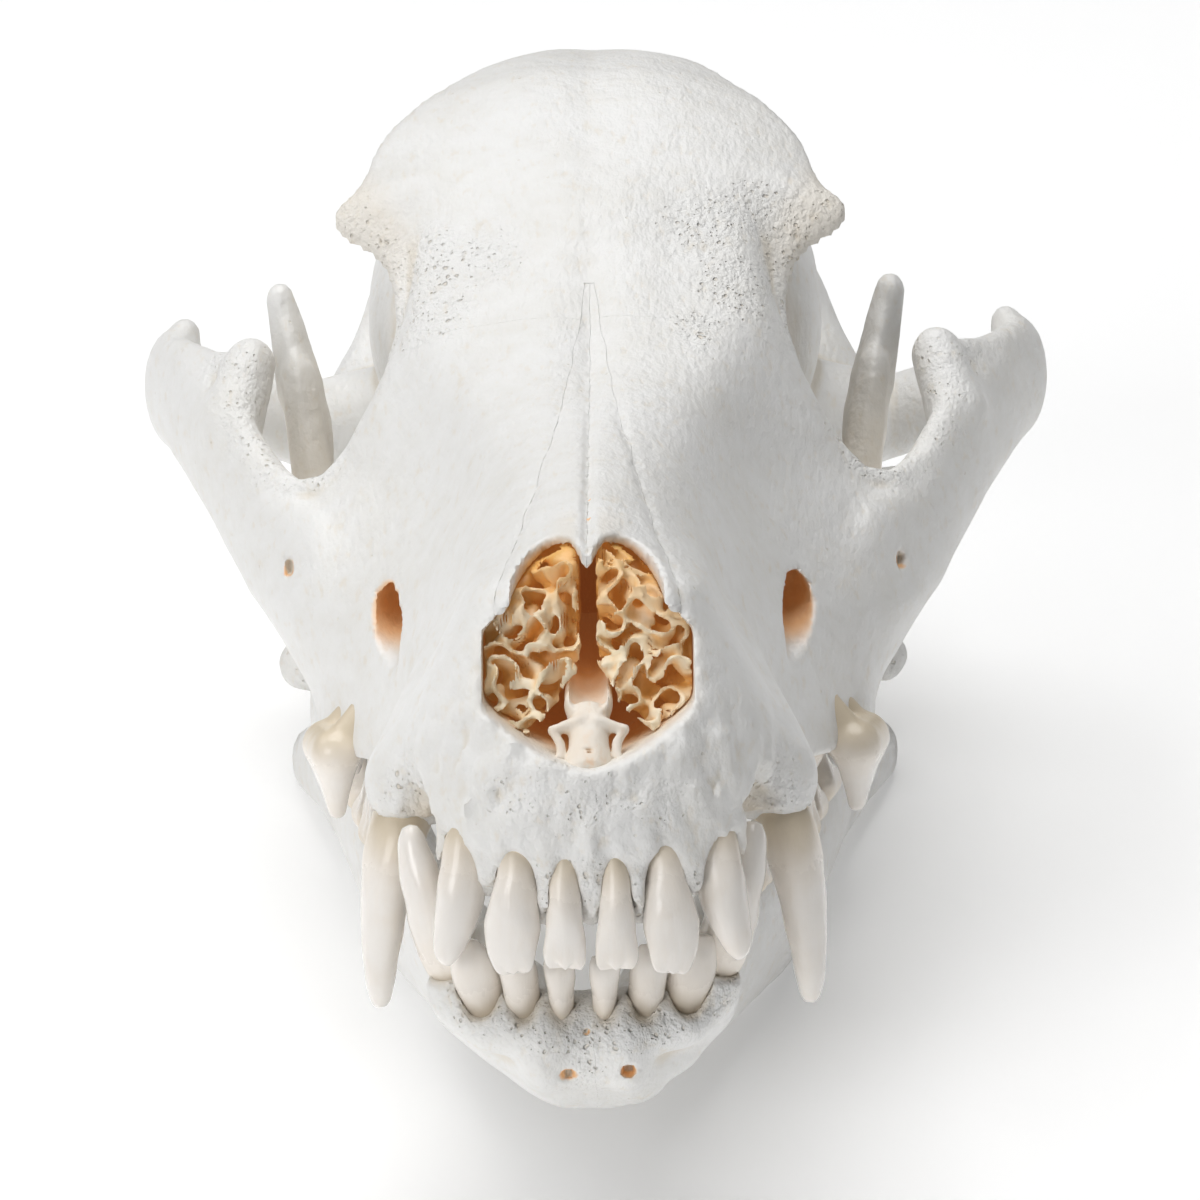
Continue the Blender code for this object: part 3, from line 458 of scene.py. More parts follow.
# domes are middle, radii, turn in degrees and blend; bars are points, radii, flat side, thinness and blend
skull = {
    "domes": {
        "frontal core": ((0, 124, 43), (18.0, 30, 21.0), (0, 0, 0), 5.0),
        "brain": ((0, 154, 38), (28.6, 40, 29.0), (0, 0, 0), 6.0),
        "occiput": ((0, 181, 34), (27, 14, 25), (0, 0, 0), 6.0),
        "sphenoid": ((0, 118, 26), (13.5, 34, 16), (0, 0, 0), 6.0),
        "petrous": ((17, 165, 16), (13, 14, 11), (0, 0, 0), 5.0),
        "mastoid": ((27.5, 173, 18), (6.5, 8, 13), (12, 0, 0), 3.0),
        "bulla": ((15.0, 161, 4.5), (8.6, 11.5, 8.6), (0, 0, 12), 2.0),
        "occipital condyle": ((10.5, 189, 17), (5.6, 8.5, 9.0), (20, 0, -25), 2.0),
    },
    "bars": {
        "skull base": (((0, 96, 22), (0, 150, 12), (0, 187, 10)), (9, 9.5, 8), alongZ, 0.6, 5.0),
        "pterygoid": (((10.2, 101, 10), (9.6, 118, 9.5), (9.2, 137, 7)), (7.0, 7.5, 4.5), alongX, 0.28, 3.0),
        "sagittal crest": (((0, 150, 65), (0, 176, 62.5), (0, 196, 57)), (4.4, 4.4, 4.0), alongX, 0.6, 5.0),
        "nuchal crest": (((0, 197, 57.5), (11, 194, 55), (20, 188, 46.5), (26.5, 180, 35), (31, 171.5, 24)),
                         (3.6, 3.8, 3.8, 3.8, 4.0), alongX, 1.0, 7.0),
        "jugular process": (((20, 179, 13), (22, 183, -4.5)), (4.6, 2.2), alongX, 0.8, 4.0),
        "temporal arch": (((25, 162, 22), (38, 164.5, 22.5), (46, 159, 26), (51.4, 149, 30), (52.2, 138, 32)),
                          (9, 5.4, 5.2, 5.6, 6.6), alongX, 0.5, 3.0),
        "jaw socket": (((25, 151, 11), (41, 150.5, 14)), (9.0, 6.4), alongZ, 0.7, 4.0),
        "retroarticular": (((26, 157, 8), (27, 157, -1.5), (35, 156.5, 1)), (5, 4.2, 3.4), alongY, 0.7, 3.0),
        "zygomatic arch": (((33, 89, 15.5), (38, 97, 18.5), (43.8, 110, 26.5), (48.6, 123, 29.5),
                            (51.6, 134, 31)), (8.6, 7.4, 7.8, 6.8, 6.6), (1, -0.45, 0), 0.42, 5.0),
        "cheek plate": (((27.5, 87, 19.5), (34.0, 94, 19.5), (40.2, 103.5, 24)), (6.0, 5.2, 5.0),
                        (0.86, -0.5, 0.1), 0.5, 5.0),
        "frontal process": (((43.2, 110, 31), (40.9, 114.3, 37.6)), (4.2, 3.1), alongX, 0.9, 2.5),
        "orbit rim": (((22.0, 105, 50), (21.6, 99.5, 43.5), (23.6, 95.5, 36.7), (27.4, 93.2, 29.9),
                       (31.0, 92.6, 26.3), (34.8, 94, 25.4), (39.0, 100, 27.4), (41.6, 106, 31.4),
                       (42.0, 112, 36.0)), (1.1, 1.2, 1.3, 1.4, 1.4, 1.4, 1.4, 1.5, 1.6), alongX, 1.0, 1.8),
        "saddle": (((41.8, 115, 36.0), (46.4, 123.5, 35.6), (50.4, 131, 35.6)), (3.0, 2.6, 2.6),
                   alongX, 0.8, 4.0),
        "arch peak": (((51.2, 133, 35.0), (50.8, 139.5, 37.6), (51.2, 146, 34.6)), (2.4, 2.4, 2.2),
                      alongX, 0.8, 2.0),
        "canine root": (((19.0, 20.5, 7), (14.2, 34, 19)), (4.4, 2.0), alongX, 1.0, 7.0),
    },
    "hollows": {
        "back of the nose": ((0, 121, 5), (7.6, 22, 12), (0, 0, 0), 1.5),
        "foramen magnum": ((0, 194, 22), (8.6, 20, 7.4), (0, 0, 0), 1.5),
        "ear": ((31, 164, 12.5), (8, 3.6, 3.8), (0, 0, 0), 1.0),
        "palatine fissure": ((4.6, 15.5, 1), (2.4, 5.6, 10), (0, 0, 0), 1.0),
        "jaw joint": ((32, 147, -2.6), (13, 6.6, 7.2), (0, -4, 0), 1.5),
        "diastema": ((19.6, 11.0, 1), (6.0, 4.0, 9), (0, 0, 0), 1.5),
    },
    # the hole below each eye: points, radii and blend
    "canals": (
        (((24.0, 57, 9.6), (22.8, 63, 13.8), (21.6, 70, 16.2), (20.8, 75, 17.2)), (0.9, 2.4, 2.9, 2.6), 0.9),
    ),
    "orbit": ((38.5, 114, 38), (24, 24, 24)),
    "cheek": ((45, 116, 1), (17.5, 24, 17)),
    "toothGap": ((17.0, 11.5, 3.0), (3.0, 4.5, 4.0)),     # cream tint with painted shade in the gap in front of the canine
    # the points of bone that reach down between the front teeth: middle and radii
    "peaks": (((0.1, 2.4, -2.0), (1.6, 2.6, 3.0)), ((5.0, 3.2, -1.8), (1.3, 2.8, 2.9)),
              ((10.4, 6.0, 0.2), (1.5, 3.0, 2.8))),
    # small holes on one side each: middle and radii
    "holes": (
        ((-35.2, 84.9, 18.0), (0.6, 2.6, 1.2)), ((35.4, 85.2, 17.8), (0.6, 2.6, 1.2)),
        ((-4.9, 2.6, 8.2), (0.55, 2.2, 0.5)), ((-6.4, 3.2, 7.9), (0.4, 2.0, 0.5)),
        ((-15.6, 9.5, 7.6), (0.5, 1.8, 0.6)), ((4.2, 2.4, 8.2), (0.45, 2.0, 0.6)),
        ((5.8, 3.0, 9.0), (0.4, 1.8, 0.4)), ((13.6, 8.2, 8.0), (0.5, 2.0, 0.6)),
    ),
    # where the bone is rough and full of pores: middle and radii
    "rough": (
        ((-18.7, 99, 50.5), (5.0, 9, 6)), ((-12, 97.5, 52), (5, 6, 5)), ((-18.5, 91, 46), (5, 6, 5)),
        ((14, 101, 55), (6, 8, 5)), ((21, 105, 55), (6, 9, 5)), ((17.5, 94, 49.5), (6, 8, 5)),
        ((12, 86, 45), (3.5, 5, 3)), ((0, 2, -1.5), (19, 9, 4.6)), ((0, 5, 8), (12, 6, 5)),
    ),
    "roughBoth": (        # the same on both sides
        ((28.5, 110.5, 55), (6, 5, 4)), ((42.5, 115, 37.5), (5.5, 7, 4)),
        ((18.2, 13.5, 6.5), (5.0, 5.5, 5.0)), ((0, 192, 58), (14, 7, 6)),
        ((31.0, 72, -0.5), (7.0, 18, 3.2)), ((48.5, 150, 24), (5, 8, 6)), ((22, 22, 3), (5, 7, 4)),
    ),
    # and along the rim of the orbit: points and radii
    "roughRim": (((25.0, 108, 52.5), (21.5, 103, 48.8), (21.8, 98.5, 43.2), (23.6, 95.5, 36.5),
                  (27.4, 93.2, 29.9), (31.0, 92.6, 26.9), (34.8, 94, 26.0), (39.0, 100, 28.0),
                  (41.6, 106, 31.8), (42.0, 112, 36.5)), (3.4, 4.4, 4.4, 3.2, 2.3, 2.2, 2.3, 2.6, 2.8, 3.4)),
    # lumps and flakes of the muzzle's front: middle and radii
    "lumps": ((0, 4, 6), (25, 30, 17)),
}

# the room inside the nose and its opening
nose = {
    "room": ((0, 12, 21.4), (12.6, 34, 11.2), (6, 0, 0)),
    "half": 10.8,          # half its width
    "ceiling": 1.0,        # how far under the roof of the nose its ceiling is
    "floor": (11.7, 0.15, 0.034),         # the floor's height in the middle, its slope and its curve
    "arches": (((4.0, 8.0), (4.1, 13.8)), ((0, 3), (4.4, 12.4)), ((10.6, 1), (3.4, 7.6))),   # from above
    "plane": ((2.0, 12.0), (0.797, 0.605)),    # the opening's plane: a place on it, and its slope
    "archLow": 24.5,
    "archBlend": 0.6,
    "edge": 1.1,           # how round the opening's rim is, and the arches' edges
    "archEdge": 0.3,
}


def faceField(room):
    # upper jaw and nose, from half widths at four heights
    roof, gum = room.y.along(face["roof"]), room.y.along(face["gum"])
    widths = {height: room.y.along(stops) for height, stops in face["widths"].items()}
    heights = list(widths)
    gumWidth = width = widths[heights[0]]
    for start, end in zip(heights, heights[1:]):
        top = roof if end == "roof" else end
        part = ((room.z - start) / (top - start)).meet(0.0, 0.35).join(1.0, 0.35)
        width = width + (widths[end] - widths[start]) * part
    height, curve, tip = face["rake"]
    lean = (room.z - height).most(0.0)
    front = lean * lean * curve - tip
    ahead = (room.y - face["blunt"]).least(0.0) / (face["blunt"] - front)
    across = room.x / width
    solid = ((across * across + ahead * ahead).calc("SQRT") - 1.0) * width * 0.9
    vault = (room.x - (gumWidth - face["gumRidge"])).meet(room.z - face["palate"], 5.0)
    vault = vault.meet(5.0 - room.y, 4.0)
    height, slope, back = face["back"]
    end = (room.z - height).most(0.0) * slope + back
    furrow = (1.0 - room.x * 0.16).most(0.0)
    furrow = furrow * furrow * room.y.fade(45.0, 85.0) * face["furrow"]
    solid = solid.meet(room.z - roof + across * across * face["crown"] + furrow, 5.0)
    solid = solid.meet(gum - room.z, 2.0)
    return solid.without(vault, 2.0).meet(room.y - end, 4.0)


def foreheadField(room):
    # the plate that ends at the temporal lines and in the postorbital processes
    names = ("height", "width", "fall", "thick")
    height, width, fall, thick = (room.y.along(forehead[name]) for name in names)
    across = room.x / width
    top = height - fall * across * across
    groove = (1.0 - room.x * 0.12).most(0.0)
    thick = thick * (1.0 - across * across * forehead["thinning"])
    plate = (room.x - width).meet(room.z - top + groove * groove * forehead["groove"], 1.5)
    front, back = forehead["reach"]
    return plate.meet(top - thick - room.z, 1.6).meet(front - room.y, 6.0).meet(room.y - back, 2.0)


def archField(room):
    # the two round arches that the nasal bones end in
    flat = room.flat()
    domes = [room.dome((*middle, 0), (*radii, 1), place=flat) for middle, radii in nose["arches"]]
    return joined(domes, nose["archBlend"]).meet(nose["archLow"] - room.z, 1.0)


def noseRoom(room, inset=0.0):
    middle, radii, turn = nose["room"]
    solid = room.dome(middle, [radius - inset for radius in radii], turn)
    solid = solid.meet(room.x - nose["half"] + inset + (room.z - 24.0).most(0.0) * 0.12, 1.6)
    square = room.x * room.x
    depth = (square * 0.075 + nose["ceiling"]).least(square * 0.05 + nose["ceiling"] + 0.7)
    depth = depth + (1.0 - room.x * 0.7).most(0.0) * 1.3
    ceiling = room.y.along(face["roof"]) - depth
    solid = solid.meet(room.z - ceiling + inset, 0.8)
    height, slope, curve = nose["floor"]
    floor = room.x * slope + square * curve + height
    return solid.meet((floor - room.z) * 0.85 + inset, 1.0)


def roughness(room, areas, patch, low, high):
    # 1 where the bone is rough, 0 where it is smooth
    return 1.0 - (nearest(areas) + room.whole.noise(5.0, 3.0) * patch).fade(low, high)


def roughField(room):
    areas = [room.dome(*spot, place=room.whole) for spot in skull["rough"]]
    areas += [room.dome(*spot) for spot in skull["roughBoth"]]
    areas.append(room.bar(*skull["roughRim"]))
    return roughness(room, areas, 7.0, -3.0, 1.8)


def creaseField(room):
    # the shallow creases along the nasal bones' edges and between them
    edge = (room.x - room.y.along(sutures["nasalWidth"])).calc("ABSOLUTE")
    side = (1.0 - edge / sutures["creaseWidth"]).most(0.0) * (1.0 - room.y.fade(58.0, 84.0))
    middle = (1.0 - room.x / sutures["creaseWidth"]).most(0.0) * (1.0 - room.y.fade(50.0, 74.0)) * 1.3
    return (side * side).most(middle * middle) * sutures["crease"] * room.z.fade(23.0, 27.0)


def craniumField(room):
    body = faceField(room).without(room.dome(*skull["orbit"]), 1.0).without(room.dome(*skull["cheek"]), 3.0)
    body = body.join(foreheadField(room), 3.0)
    for middle, radii, turn, blend in skull["domes"].values():
        body = body.join(room.dome(middle, radii, turn), blend)
    for points, radii, side, thin, blend in skull["bars"].values():
        body = body.join(room.bar(points, radii, side, thin), blend)
    for middle, radii, turn, blend in skull["hollows"].values():
        body = body.without(room.dome(middle, radii, turn), blend)
    for points, radii, blend in skull["canals"]:
        body = body.without(room.bar(points, radii), blend)
    for tooth in upperFrontTeeth.values():
        body = body.join(ridgeField(room, tooth["rings"]), 1.6)
    for middle, radii in skull["peaks"]:
        body = body.join(room.dome(middle, radii), 0.9)
    body = body + unevenness(room) + creaseField(room)
    for tooth in upperFrontTeeth.values():
        body = body.without(socketField(room, tooth["rings"], tooth["scallop"]), 0.35)
    body = body.without(noseRoom(room), nose["edge"]).without(archField(room), nose["archEdge"])
    for middle, radii in skull["holes"]:
        body = body.without(room.dome(middle, radii, place=room.whole), 0.25)
    return body


def unevenness(room):
    # slow swells everywhere, and pits and grains where the bone is rough
    swell = room.whole.noise(17.0, 1.0) * 0.9 + room.whole.noise(5.5, 1.0) * 0.22
    grain = room.whole.noise(2.0, 2.0) * 0.3 * roughField(room)
    lumps = room.whole.move("MULTIPLY", (1.0, 1.0, 0.6)).noise(2.2, 3.0) * 2.6
    lumps = lumps + room.whole.noise(4.5, 1.0) * 0.9
    return swell + grain + lumps * (1.0 - room.dome(*skull["lumps"]).fade(-6.0, 2.0))


def ridgeField(room, rings):
    # the swelling that a front tooth's root makes in the bone
    inner, outer = rings[0], rings[1]
    points = [ring[:3] for ring in (inner, outer)]
    return room.bar(points, [0.42 * max(ring[3:5]) for ring in (inner, outer)])


def socketField(room, rings, scallop):
    # the room that a front tooth fills, and the scallop that bares its neck
    points = [ring[:3] for ring in rings]
    radii = [0.5 * min(ring[3], ring[4]) for ring in rings]
    middle, (width, depth, height) = scallop
    return room.bar(points, radii).least(room.dome(middle, (width - 0.15, depth, height)))


# rings from root to tip: x, y, z, width and depth; scallop is the dip in the bone that bares the neck
upperFrontTeeth = {
    "firstIncisor": {
        "rings": ((2.5, 5.8, 8.0, 1.8, 2.2), (2.5, 4.2, 5.0, 2.5, 3.6), (2.55, 2.6, 2.6, 2.9, 4.3),
                  (2.6, 1.6, 0.4, 3.1, 4.4), (2.65, 1.0, -1.8, 3.4, 4.2), (2.65, 0.6, -3.8, 3.8, 3.5),
                  (2.65, 0.4, -5.6, 4.1, 2.6), (2.65, 0.35, -7.0, 4.35, 1.8), (2.65, 0.4, -8.0, 4.1, 1.1),
                  (2.65, 0.45, -8.45, 3.4, 0.55)),
        "turn": 2, "neck": -1.0, "lobes": 0.34, "scallop": ((2.6, -1.6, -0.6), (1.75, 3.6, 4.0)),
    },
    "secondIncisor": {
        "rings": ((6.6, 6.6, 8.0, 2.4, 2.8), (6.9, 4.9, 5.0, 3.2, 4.0), (7.2, 3.6, 2.6, 3.9, 4.8),
                  (7.5, 2.8, 0.2, 4.3, 5.0), (7.8, 2.2, -2.2, 5.1, 4.8), (8.0, 1.9, -4.4, 5.8, 4.0),
                  (8.1, 1.75, -6.4, 5.5, 2.9), (8.1, 1.7, -8.0, 4.6, 1.7), (8.05, 1.7, -9.0, 3.6, 0.9),
                  (8.0, 1.75, -9.3, 2.6, 0.5)),
        "turn": 16, "neck": 0.4, "lobes": 0.2, "scallop": ((7.6, -0.2, -1.0), (2.4, 4.0, 4.6)),
    },
    "thirdIncisor": {
        "rings": ((11.5, 9.6, 9.0, 2.6, 3.0), (12.0, 8.2, 6.0, 3.6, 4.4), (12.6, 6.9, 3.0, 4.4, 5.2),
                  (13.1, 6.1, 0.2, 4.8, 5.4), (13.6, 5.5, -2.6, 4.9, 5.0), (14.2, 5.1, -5.0, 4.5, 4.2),
                  (14.8, 5.0, -7.0, 3.6, 3.2), (15.15, 5.1, -8.3, 2.5, 2.2), (15.3, 5.2, -9.0, 1.4, 1.1)),
        "turn": 40, "neck": 1.2, "lobes": 0.0, "scallop": ((13.9, 2.6, -0.5), (2.6, 4.4, 4.8)),
    },
    "canine": {
        "rings": ((15.5, 29.5, 10.5, 4.0, 4.0), (17.6, 24.5, 7.5, 7.0, 5.2), (19.4, 21.0, 4.0, 8.2, 6.0),
                  (20.7, 19.1, 0.5, 8.4, 6.0), (21.5, 18.4, -3.5, 7.7, 5.4), (22.1, 18.4, -7.5, 6.4, 4.7),
                  (22.45, 18.9, -11.5, 4.9, 3.8), (22.6, 19.4, -14.5, 3.6, 3.0),
                  (22.6, 19.7, -16.6, 2.4, 2.2), (22.55, 19.8, -17.3, 1.4, 1.3)),
        "turn": 80, "neck": -1.5, "lobes": 0.0, "scallop": ((23.4, 16.6, 0.0), (3.6, 6.0, 3.6)),
    },
}
lowerFrontTeeth = {
    "firstIncisor": {
        "rings": ((2.0, 11.5, -21.0, 1.5, 2.4), (2.1, 9.2, -18.0, 1.9, 3.6), (2.15, 7.6, -15.2, 2.2, 4.2),
                  (2.25, 6.4, -12.8, 2.7, 4.0), (2.35, 5.5, -10.8, 3.2, 3.0), (2.4, 5.0, -9.4, 3.2, 1.8),
                  (2.4, 4.9, -8.6, 2.6, 0.9)),
        "turn": 0, "neck": -13.0, "lobes": 0.12, "scallop": ((2.2, 4.0, -11.6), (1.6, 3.4, 4.2)),
    },
    "secondIncisor": {
        "rings": ((5.4, 12.8, -21.0, 2.0, 3.0), (5.8, 10.6, -18.0, 2.6, 4.2), (6.1, 8.9, -15.0, 3.2, 4.8),
                  (6.4, 7.7, -12.4, 3.9, 4.4), (6.7, 6.9, -10.2, 4.1, 3.3), (6.9, 6.4, -8.6, 3.7, 2.0),
                  (6.95, 6.3, -7.7, 2.6, 1.0)),
        "turn": 14, "neck": -12.8, "lobes": 0.1, "scallop": ((6.2, 5.4, -11.6), (1.9, 3.4, 4.2)),
    },
    "thirdIncisor": {
        "rings": ((8.7, 14.2, -21.0, 2.4, 3.2), (9.4, 12.4, -18.2, 3.4, 4.6), (10.1, 10.7, -15.4, 4.2, 5.0),
                  (10.9, 9.5, -12.6, 4.9, 4.8), (11.6, 8.7, -10.2, 5.0, 3.8), (12.1, 8.3, -8.4, 4.2, 2.4),
                  (12.3, 8.2, -7.4, 2.8, 1.1)),
        "turn": 30, "neck": -12.6, "lobes": 0.0, "scallop": ((10.8, 7.4, -11.6), (2.4, 3.4, 4.2)),
    },
    "canine": {
        "rings": ((10.0, 25.0, -22.0, 2.4, 2.4), (10.8, 20.0, -18.0, 4.4, 3.8), (12.7, 15.2, -13.6, 6.6, 5.2),
                  (14.5, 12.2, -9.0, 7.4, 5.7), (15.8, 10.9, -4.5, 6.3, 5.0), (16.9, 10.8, -0.5, 4.8, 4.0),
                  (17.6, 11.1, 2.4, 3.3, 2.9), (17.9, 11.3, 3.8, 1.8, 1.6)),
        "turn": 74, "neck": -9.5, "lobes": 0.0, "scallop": ((15.2, 10.5, -9.8), (3.2, 3.6, 2.6)),
    },
}
# a cusp's root, neck, tip, width along the row, depth across it and the row's direction in degrees
upperCheekTeeth = (
    ((16.8, 34.5, 6), (19.0, 33.8, 0.5), (19.4, 33.5, -3.6), 5.2, 4.0, 88),
    ((16.8, 43.0, 6), (19.1, 42.5, 0.0), (19.4, 41.5, -5.4), 9.5, 4.6, 86),
    ((18.6, 54.5, 6), (21.2, 54.0, 0.0), (21.8, 53.0, -6.4), 11.2, 5.0, 76),
    ((26.0, 70.5, 6), (29.9, 70.5, -0.3), (29.5, 70.5, -7.4), 10.5, 7.4, 76),
    ((27.2, 79.5, 5), (29.6, 79.0, -1.0), (29.8, 79.0, -6.2), 9.0, 5.6, 84),
    ((23.5, 66.0, 5), (23.8, 65.5, -0.5), (23.6, 65.5, -3.6), 4.0, 4.0, 60),
    ((27.6, 86.0, 5), (28.2, 86.0, -0.5), (28.3, 86.0, -5.8), 6.5, 6.0, 95),
    ((26.4, 91.5, 5), (27.0, 91.5, 0.0), (27.0, 91.5, -5.2), 6.0, 6.0, 100),
    ((20.0, 89.0, 7), (20.4, 89.0, 1.5), (20.6, 89.0, -3.4), 8.5, 9.0, 95),
    ((23.0, 96.0, 7), (23.4, 96.4, 1.5), (23.6, 96.6, -3.6), 5.0, 5.5, 100),
    ((19.4, 96.4, 8), (19.6, 96.8, 3.0), (19.6, 97.0, -2.4), 5.5, 6.0, 100),
)
lowerCheekTeeth = (
    ((12.6, 28.5, -18), (14.2, 27.0, -12.8), (14.6, 26.6, -9.6), 4.0, 3.4, 82),
    ((12.4, 36.0, -18), (14.9, 35.0, -12.6), (15.4, 34.0, -7.8), 8.5, 4.2, 84),
    ((13.6, 47.0, -18), (16.6, 46.0, -12.4), (17.2, 45.0, -7.2), 10.0, 4.6, 80),
    ((16.0, 59.0, -18), (19.0, 58.0, -12.2), (19.6, 57.0, -5.6), 11.5, 5.0, 76),
    ((19.4, 70.0, -18), (22.6, 70.0, -12.2), (23.0, 70.0, -5.4), 9.0, 4.8, 74),
    ((20.8, 77.0, -18), (24.0, 77.0, -12.0), (24.2, 77.4, -3.0), 9.5, 5.0, 76),
    ((22.4, 85.0, -17), (25.2, 85.0, -11.2), (25.4, 85.0, -7.4), 8.0, 5.6, 78),
    ((24.4, 93.0, -16), (27.0, 93.0, -10.0), (27.0, 93.0, -6.6), 8.0, 5.6, 78),
    ((28.0, 100.5, -12), (28.6, 100.5, -7.4), (28.4, 100.5, -5.0), 4.5, 4.0, 80),
)
# where the cheek teeth's necks are: place along y, height
upperNecks = ((30, 0.4), (70, -0.8), (100, 1.2))
lowerNecks = ((20, -12.0), (80, -10.5), (104, -7.0))
toothMesh = {
    "sides": 32, "steps": 5, "shake": 0.18,
    "upperBox": ((-35, 28, -12), (35, 102, 7)), "upperSpacing": 0.4,
    "lowerBox": ((10, 22, -20), (33, 106, 0)), "lowerSpacing": 0.36,
    "edge": 2.4,          # how far up the lobes of the cutting edge reach
    "lobes": 2.2,         # how many half waves they make
    "uneven": (2.6, 0.16),    # size and height of a front tooth's swells
    "cap": 0.35,          # how far a tip bulges
}
cusp = {
    "thick": 0.38,        # the neck's radius, as a share of its depth
    "tip": 0.11,
    "root": 1.0,          # the root's radius at its end
    "rootNeck": 0.3,
    "blend": 0.9,
}


def smoothRings(rings, steps):
    # more rings between the given ones, on a smooth curve
    rows = [Vector(ring) for ring in rings]
    found = []
    for i in range(len(rows) - 1):
        before, here, after, last = rows[max(i - 1, 0)], rows[i], rows[i + 1], rows[min(i + 2, len(rows) - 1)]
        for step in range(steps):
            t = step / steps
            found.append(0.5 * (here * 2 + (after - before) * t
                                + (before * 2 - here * 5 + after * 4 - last) * t * t
                                + (here * 3 - before - after * 3 + last) * t * t * t))
    return found + [rows[-1]]


def frontTooth(work, marks, tooth, side, shake):
    # one incisor or canine: rings along its curve, lobed at the cutting edge, closed at both ends
    rows = smoothRings(tooth["rings"], toothMesh["steps"])
    turn = math.radians(tooth["turn"] + shake.uniform(-3, 3))
    along = Vector((math.cos(turn), math.sin(turn), 0))
    drift = Vector([shake.uniform(-1, 1) * toothMesh["shake"] for _ in range(3)])
    lowest = rows[-1][2]
    last = None
    for number, row in enumerate(rows):
        middle = Vector(row[:3])
        near, far = Vector(rows[max(number - 1, 0)][:3]), Vector(rows[min(number + 1, len(rows) - 1)][:3])
        axis = (far - near).normalized()
        across = axis.cross(along).normalized()
        beside = across.cross(axis)
        part = number / (len(rows) - 1)
        ring = []
        for i in range(toothMesh["sides"]):
            angle = math.tau * i / toothMesh["sides"]
            wide, deep = math.cos(angle), math.sin(angle)
            edge = max(0.0, 1 - abs(middle.z - lowest) / toothMesh["edge"])
            lobe = tooth["lobes"] * math.cos(math.pi * toothMesh["lobes"] * wide) * edge * axis
            point = middle + beside * wide * row[3] / 2 + across * deep * row[4] / 2 + lobe
            point = wander(point + drift * part, *toothMesh["uneven"])
            ring.append(work.verts.new(Vector((side * point.x, point.y, point.z)) * mm))
        for vertex in ring:
            marks[vertex] = middle.z
        if last:
            strip(work, last, ring)
        if number in (0, len(rows) - 1):
            bulge = axis * toothMesh["cap"] * (1 if number else -1) * min(row[3], row[4]) * 0.5
            tip = sum((vertex.co for vertex in ring), Vector()) / len(ring)
            top = work.verts.new(tip + Vector((side * bulge.x, bulge.y, bulge.z)) * mm)
            marks[top] = middle.z
            for here, after in zip(ring, ring[1:] + ring[:1]):
                work.faces.new((here, after, top))
        last = ring


def frontTeeth(name, teeth, sides, finish):
    # a set of front teeth in one mesh, each point marked with how far up the root it is
    shake = random.Random(seed)
    work = bmesh.new()
    root = []
    for tooth in teeth.values():
        way = 1 if tooth["rings"][0][2] > tooth["rings"][-1][2] else -1
        for side in (1, -1):
            marks = {}
            state = random.Random(shake.random())
            if side in sides:
                frontTooth(work, marks, tooth, side, state)
            root += [(z - tooth["neck"]) * way for z in marks.values()]
    piece = pieceFrom(name, work)
    piece.data.attributes.new("root", "FLOAT", "POINT").data.foreach_set("value", root)
    piece.data.materials.append(finish)
    return piece


def cuspField(room, row):
    # a blade that narrows from the neck to the tip, on two roots
    root, neck, tip = map(Vector, row[:3])
    width, depth, turn = row[3:]
    along = Vector((math.cos(math.radians(turn)), math.sin(math.radians(turn)), 0))
    foot = along * max(0.5 * width - 0.4 * depth, 0.1)
    thick, thin = cusp["thick"] * depth, cusp["tip"] * depth
    solid = room.bar((neck - foot, neck + foot), (thick, thick))
    solid = solid.join(room.bar((neck, tip), (thick, thin)), cusp["blend"])
    for way in (-1, 1):
        solid = solid.join(room.bar((neck + foot * way, tip), (thick, thin)), cusp["blend"])
        ends = (root + foot * way * 0.7, neck + foot * way)
        solid = solid.join(room.bar(ends, (cusp["root"], cusp["rootNeck"] * depth)), 0.7)
    return solid


def cheekTeethField(cusps):
    def shape(room):
        solid = joined([cuspField(room, row) for row in cusps], 0.6)
        return solid + room.whole.noise(2.4, 2.0) * 0.16
    return shape


